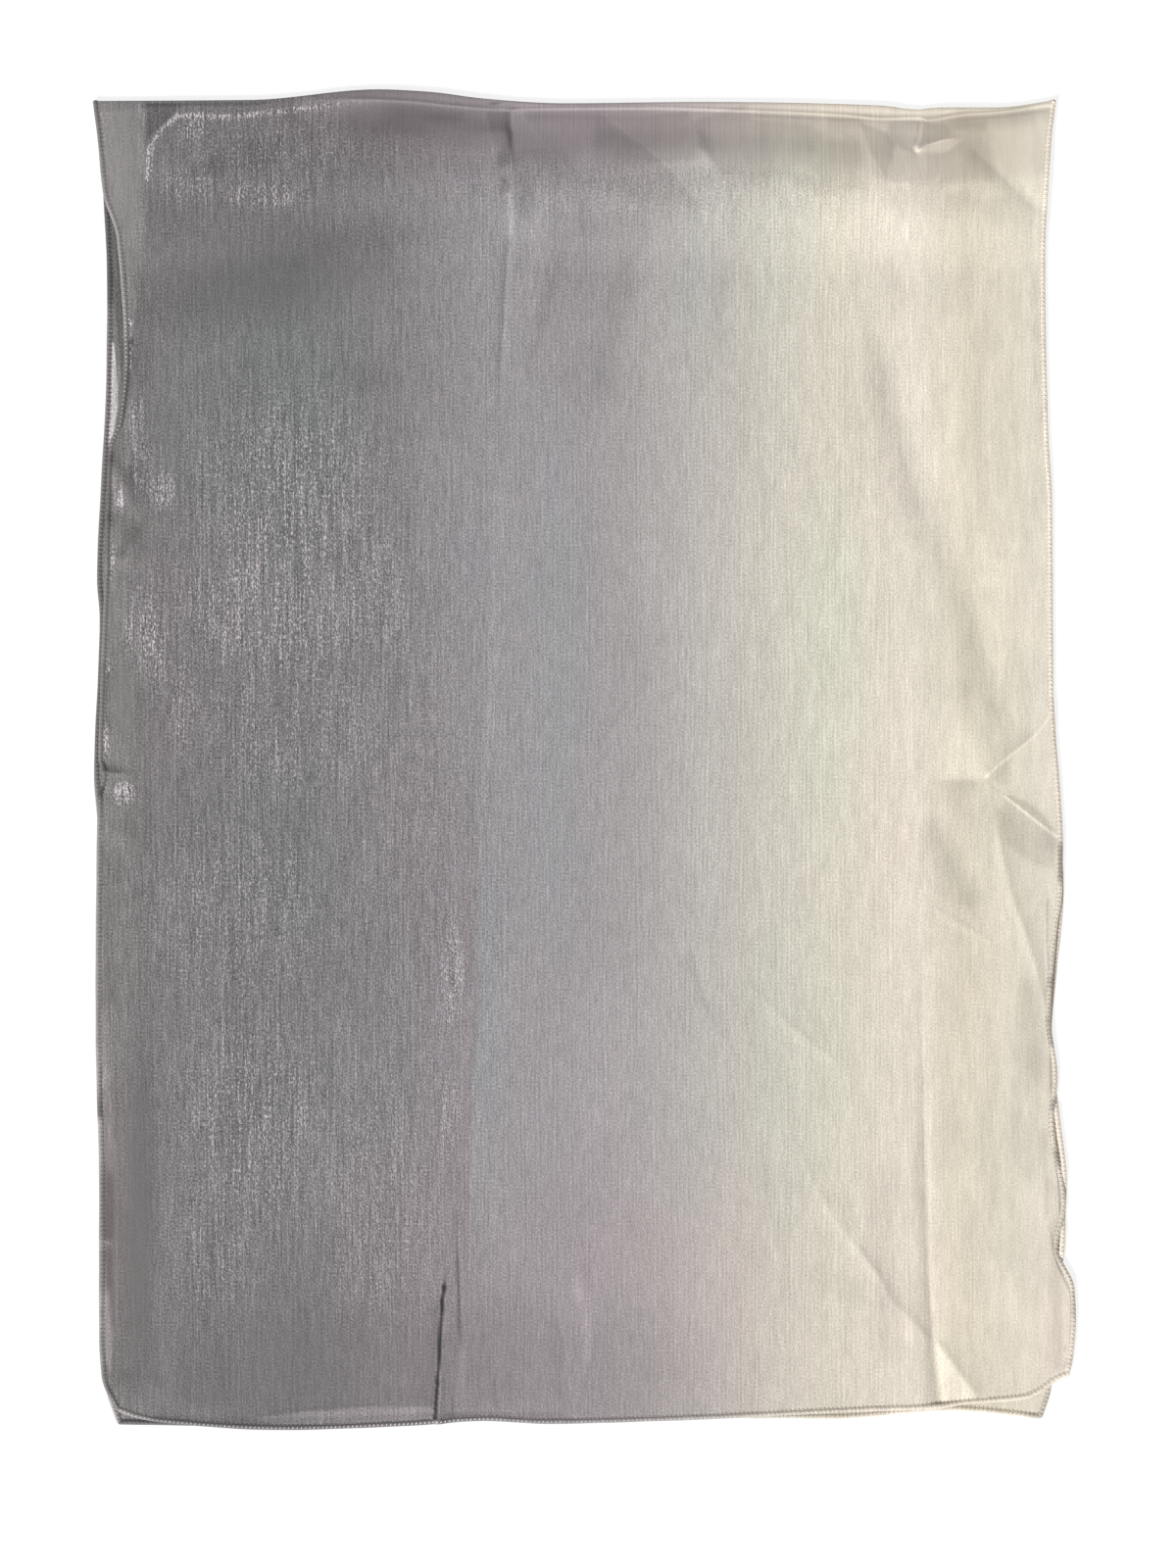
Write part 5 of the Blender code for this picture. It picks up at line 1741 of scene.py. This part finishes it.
# For each y of a side, and each x of an end: how pale the roll, the stitches and the seam are
# their own tone with painted shade and light, such as painted shadow in slits and along seams
HEM_TONES_AND_SHADE = {
    (Layer.FRONT, Side.LEFT): HemToneAndShade((
        (480, 0.8, 0.8, 1), (445, 0.9, 0.7, 0.9), (400, 1.15, 0.9, 1.1), (380, 1.15, 1.1, 1.05),
        (345, 1.05, 1.3, 1), (315, 0.9, 2, 0.9), (285, 0.9, 2.4, 0.8), (242, 0.7, 2.3, 0.7),
        (226, 0.8, 1.2, 0.7), (218, 0.6, 0.7, 0.4), (155, 0.6, 0.7, 0.4), (140, 0.9, 1, 1), (5, 0.9, 1.1, 1),
        (-8, 0.7, 0.8, 0.6), (-28, 0.7, 1.4, 0.7), (-45, 1.3, 1.2, 0.95), (-190, 1.3, 1.2, 0.95),
        (-215, 1.5, 1.4, 0.6), (-285, 1.6, 1.4, 0.6), (-300, 1.6, 1.1, 0.8), (-440, 1.6, 1.3, 1),
        (-460, 0.8, 1.5, 1.1), (-474, 1, 2.4, 1.2),
    )),
    (Layer.FRONT, Side.RIGHT): HemToneAndShade((
        (480, 1.1, 1, 0.9), (425, 1.1, 1, 0.75), (285, 1.1, 1, 0.75), (230, 1.1, 1.1, 1), (45, 1.1, 1.1, 1),
        (30, 0.9, 0.9, 0.8), (10, 1, 1, 0.9), (-58, 1, 0.9, 0.8), (-64, 0.45, 0.5, 0.5),
        (-86, 0.45, 0.5, 0.5), (-93, 1, 0.85, 0.6), (-185, 0.95, 0.85, 0.6), (-200, 1, 1.2, 0.9),
        (-240, 0.92, 1, 0.5), (-320, 0.9, 0.95, 0.45), (-345, 0.9, 0.92, 0.5), (-385, 0.95, 0.92, 0.7),
        (-450, 1.05, 1, 0.9),
    )),
    (Layer.BACK, Side.LEFT): HemToneAndShade((
        (480, 1, 1, 1), (420, 0.6, 0.6, 0.6), (335, 0.5, 0.5, 0.5), (325, 1, 0.55, 0.9), (225, 1, 0.55, 0.8),
        (60, 0.7, 0.6, 0.8), (0, 0.7, 0.6, 0.8), (-60, 1.7, 1.4, 1), (-485, 1.7, 1.4, 1),
    )),
    (Layer.BACK, Side.RIGHT): HemToneAndShade((
        (480, 1, 1, 1), (-235, 1, 1, 1), (-250, 1.1, 1.1, 1.1), (-365, 1.1, 1.1, 1.1), (-380, 1, 1, 1),
        (-455, 1, 1, 1), (-465, 0.75, 0.8, 0.8), (-481, 0.75, 0.7, 0.8),
    )),
    (Layer.FRONT, None): HemToneAndShade((
        (-341, 1.3, 2.8, 1.3), (-322, 1.2, 2.6, 1.3), (-312, 0.75, 2.3, 0.9), (-250, 0.7, 3, 0.8),
        (-110, 0.7, 3, 0.8), (-60, 0.72, 1.9, 0.8), (60, 0.85, 1.3, 0.95), (180, 0.9, 1.1, 0.9),
        (240, 1, 1.05, 0.8), (353, 1.05, 1.05, 0.75),
    )),
    (Layer.BACK, None): HemToneAndShade((
        (-341, 0.55, 0.9, 0.8), (-290, 0.6, 0.9, 0.9), (40, 1, 0.8, 1.2), (315, 1.05, 0.8, 1.3),
        (326, 0.75, 0.6, 0.8), (334, 0.75, 0.6, 0.8),
    )),
}


@dataclass
class Hems:
    """The four rolled edges of the cloth."""

    form: ClothForm
    step: float = 2.0
    inset: float = 2.0
    hem_mid_back: float = 0.7
    # y of places near the fold and near the back end, where a side edge is looked up
    near_fold: float = 470.0
    near_end: float = -480.0

    def side_path(self, side: Side) -> tuple[Array, Array, Array]:
        """A side edge: up the front, round the fold and down the back.

        Args:
            side: which one.

        Returns:
            The points of the outer edge, the directions inward, and the tones of its three parts.
        """
        form = self.form
        front, back = (form.edge(layer, side) for layer in Layer)
        inset, low = self.inset * side.sign, self.hem_mid_back
        start_y, start_x = getattr(form, f"front_{side.value}")[-1]
        fold_y = float(form.fold_line_at(front(self.near_fold))) - float(form.roll_at(start_x))
        y = np.linspace(start_y, fold_y, round(LONG / self.step))
        x = front(y)
        z = np.maximum(form.front_height(x + inset, y), form.front_mid)
        turn = np.linspace(0, math.pi, 9)[1:-1]
        arc_y = fold_y + float(form.roll_at(start_x)) * np.sin(turn)
        arc_z = (z[-1] + low) / 2 + (z[-1] - low) / 2 * np.cos(turn)
        end_y = float(form.back_end_at(back(self.near_end)))
        back_y = np.linspace(fold_y, end_y, round(LONG / self.step))
        back_x = back(back_y)
        back_z = low + form.back_curl(back_x, back_y)
        parts = ((x, front(arc_y), back_x), (y, arc_y, back_y), (z, arc_z, back_z))
        path = np.stack([np.concatenate(part) for part in parts], axis=-1)
        # the front's painted shade and light carry on onto its hem
        front_tones = HEM_TONES_AND_SHADE[Layer.FRONT, side].at(y) * painted_shade_and_tone_of(PAINTED_SHADE_AND_TONE, x + inset, y)[:, None]
        tones = (front_tones, np.ones((len(arc_y), 3)), HEM_TONES_AND_SHADE[Layer.BACK, side].at(back_y))
        return path, self.inward_of(path, side.sign), np.concatenate(tones)

    @staticmethod
    def inward_of(path: Array, sign: float) -> Array:
        """Directions across a side path, level and towards the cloth.

        Args:
            path: its points.
            sign: 1 if the cloth lies towards greater x, otherwise -1.

        Returns:
            A unit direction at each point.
        """
        ahead = np.gradient(path, axis=0)
        rise = np.where(ahead[:, 1] == 0, 1, ahead[:, 1])
        slope = np.where(np.abs(ahead[:, 1]) > 0.3, ahead[:, 0] / rise, 0.0)
        inward = np.stack([np.ones(len(path)), -slope, np.zeros(len(path))], axis=-1) * sign
        return inward / np.linalg.norm(inward, axis=1, keepdims=True)

    def end_path(self, layer: Layer) -> tuple[Array, Array, Array]:
        """An end edge, from its left corner to its right one.

        Args:
            layer: which stretch ends there.

        Returns:
            The points of the outer edge, the directions inward, and the tones of its three parts.
        """
        form = self.form
        rows = getattr(form, f"{layer.value}_end")
        x = np.linspace(rows[0][0], rows[-1][0], round(WIDE / self.step))
        y = form.end(layer)(x)
        if layer is Layer.FRONT:
            z = np.maximum(form.front_height(x, y + self.inset), form.front_mid)
        else:
            z = np.full(len(x), self.hem_mid_back)
        path = np.stack([x, y, z], axis=-1)
        ahead = np.gradient(path, axis=0)
        inward = np.stack([-ahead[:, 1], ahead[:, 0], np.zeros(len(x))], axis=-1)
        inward /= np.linalg.norm(inward, axis=1, keepdims=True)
        return path, inward, HEM_TONES_AND_SHADE[layer, None].at(x)

    def build(self) -> dict[str, tuple[Piece, Piece]]:
        """Makes the four hems.

        Returns:
            Each hem and its stitches, by the edge they lie on.
        """
        finish = HemFinish("rolled_hem_cloth", 0.95, (1.02, 0.99, 0.975)).build()
        thread = HemFinish("overcast_thread", 1.0, (1.03, 0.99, 0.98)).build()
        seam = HemFinish("seam_thread", 0.95, (1.08, 0.98, 0.92)).build()
        # the last number of each is painted light on the outer side of its roll
        paths = {
            "left": ("left_hem", *self.side_path(Side.LEFT), 0.10),
            "right": ("right_hem", *self.side_path(Side.RIGHT), 0.08),
            "front_end": ("front_end_hem", *self.end_path(Layer.FRONT), 0.0),
            "back_end": ("back_end_hem", *self.end_path(Layer.BACK), 0.0),
        }
        return {
            name: RolledHem(f"rolled_hem_{name}", *parts, finish, thread, seam).build()
            for name, parts in paths.items()
        }


@dataclass(frozen=True)
class Studio:
    """Pale floor, soft light from the near side, and a camera that looks straight down."""

    floor_size: float = 8.0
    floor_colour: Colour = (122, 122, 122)
    floor_glow: float = 0.82
    camera_height: float = 1.70
    camera_x: float = 0.00286
    camera_y: float = -0.0179
    seen_length: float = 1.143
    sun_strength: float = 4.1
    sun_elevation: float = 31.0
    sun_bearing: float = 213.0
    sun_angle: float = 12.0
    dome_strength: float = 0.31

    def build(self) -> None:
        """Makes the floor, the lights and the camera."""
        deselect()
        bpy.ops.mesh.primitive_plane_add(size=self.floor_size, location=(0, 0, 0))
        floor = bpy.context.object
        floor.name = floor.data.name = "studio_floor"
        graph = NodeGraph("studio_paper")
        graph.shader.inputs["Base Color"].default_value = linear(self.floor_colour)
        graph.shader.inputs["Roughness"].default_value = 0.9
        graph.shader.inputs["Emission Color"].default_value = (1.0, 1.0, 1.0, 1.0)
        graph.shader.inputs["Emission Strength"].default_value = self.floor_glow
        floor.data.materials.append(graph.material)
        bearing, elevation = math.radians(self.sun_bearing), math.radians(self.sun_elevation)
        bpy.ops.object.light_add(type="SUN", location=(0, -2, 2))
        sun = bpy.context.object
        sun.name = sun.data.name = "key_light"
        sun.data.energy = self.sun_strength
        sun.data.angle = math.radians(self.sun_angle)
        sun.rotation_euler = (math.pi / 2 - elevation, 0, math.pi - bearing)
        world = bpy.data.worlds.new("studio_air")
        world.use_nodes = True
        world.node_tree.nodes["Background"].inputs["Color"].default_value = (1.0, 1.0, 1.0, 1.0)
        world.node_tree.nodes["Background"].inputs["Strength"].default_value = self.dome_strength
        bpy.context.scene.world = world
        bpy.ops.object.camera_add(location=(self.camera_x, self.camera_y, self.camera_height))
        camera = bpy.context.object
        camera.name = camera.data.name = "camera"
        camera.rotation_euler = (0, 0, 0)
        camera.data.sensor_width = 36.0
        camera.data.lens = 36.0 * self.camera_height / self.seen_length
        camera.data.clip_end = 50.0
        bpy.context.scene.camera = camera
        bpy.context.scene.view_settings.view_transform = "Standard"


def main() -> None:
    """Builds the piece classes in order and puts them in the frame."""
    logging.basicConfig(level=logging.INFO, format="%(name)s: %(message)s")
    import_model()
    form = ClothForm()
    front_piece = ClothFront(form, ShimmerCloth("ombre_cloth_front")).build()
    back_piece = ClothBack(form, ShimmerCloth("ombre_cloth_back")).build()
    for sheet in (front_piece, back_piece):
        LOG.info("%s: %d faces", sheet.name, len(sheet.data.polygons))
    hems = Hems(form).build()
    for rolled, stitched in hems.values():
        LOG.info("%s: %d and %d faces", rolled.name, len(rolled.data.polygons), len(stitched.data.polygons))
    Studio().build()


if __name__ == "__main__":
    main()
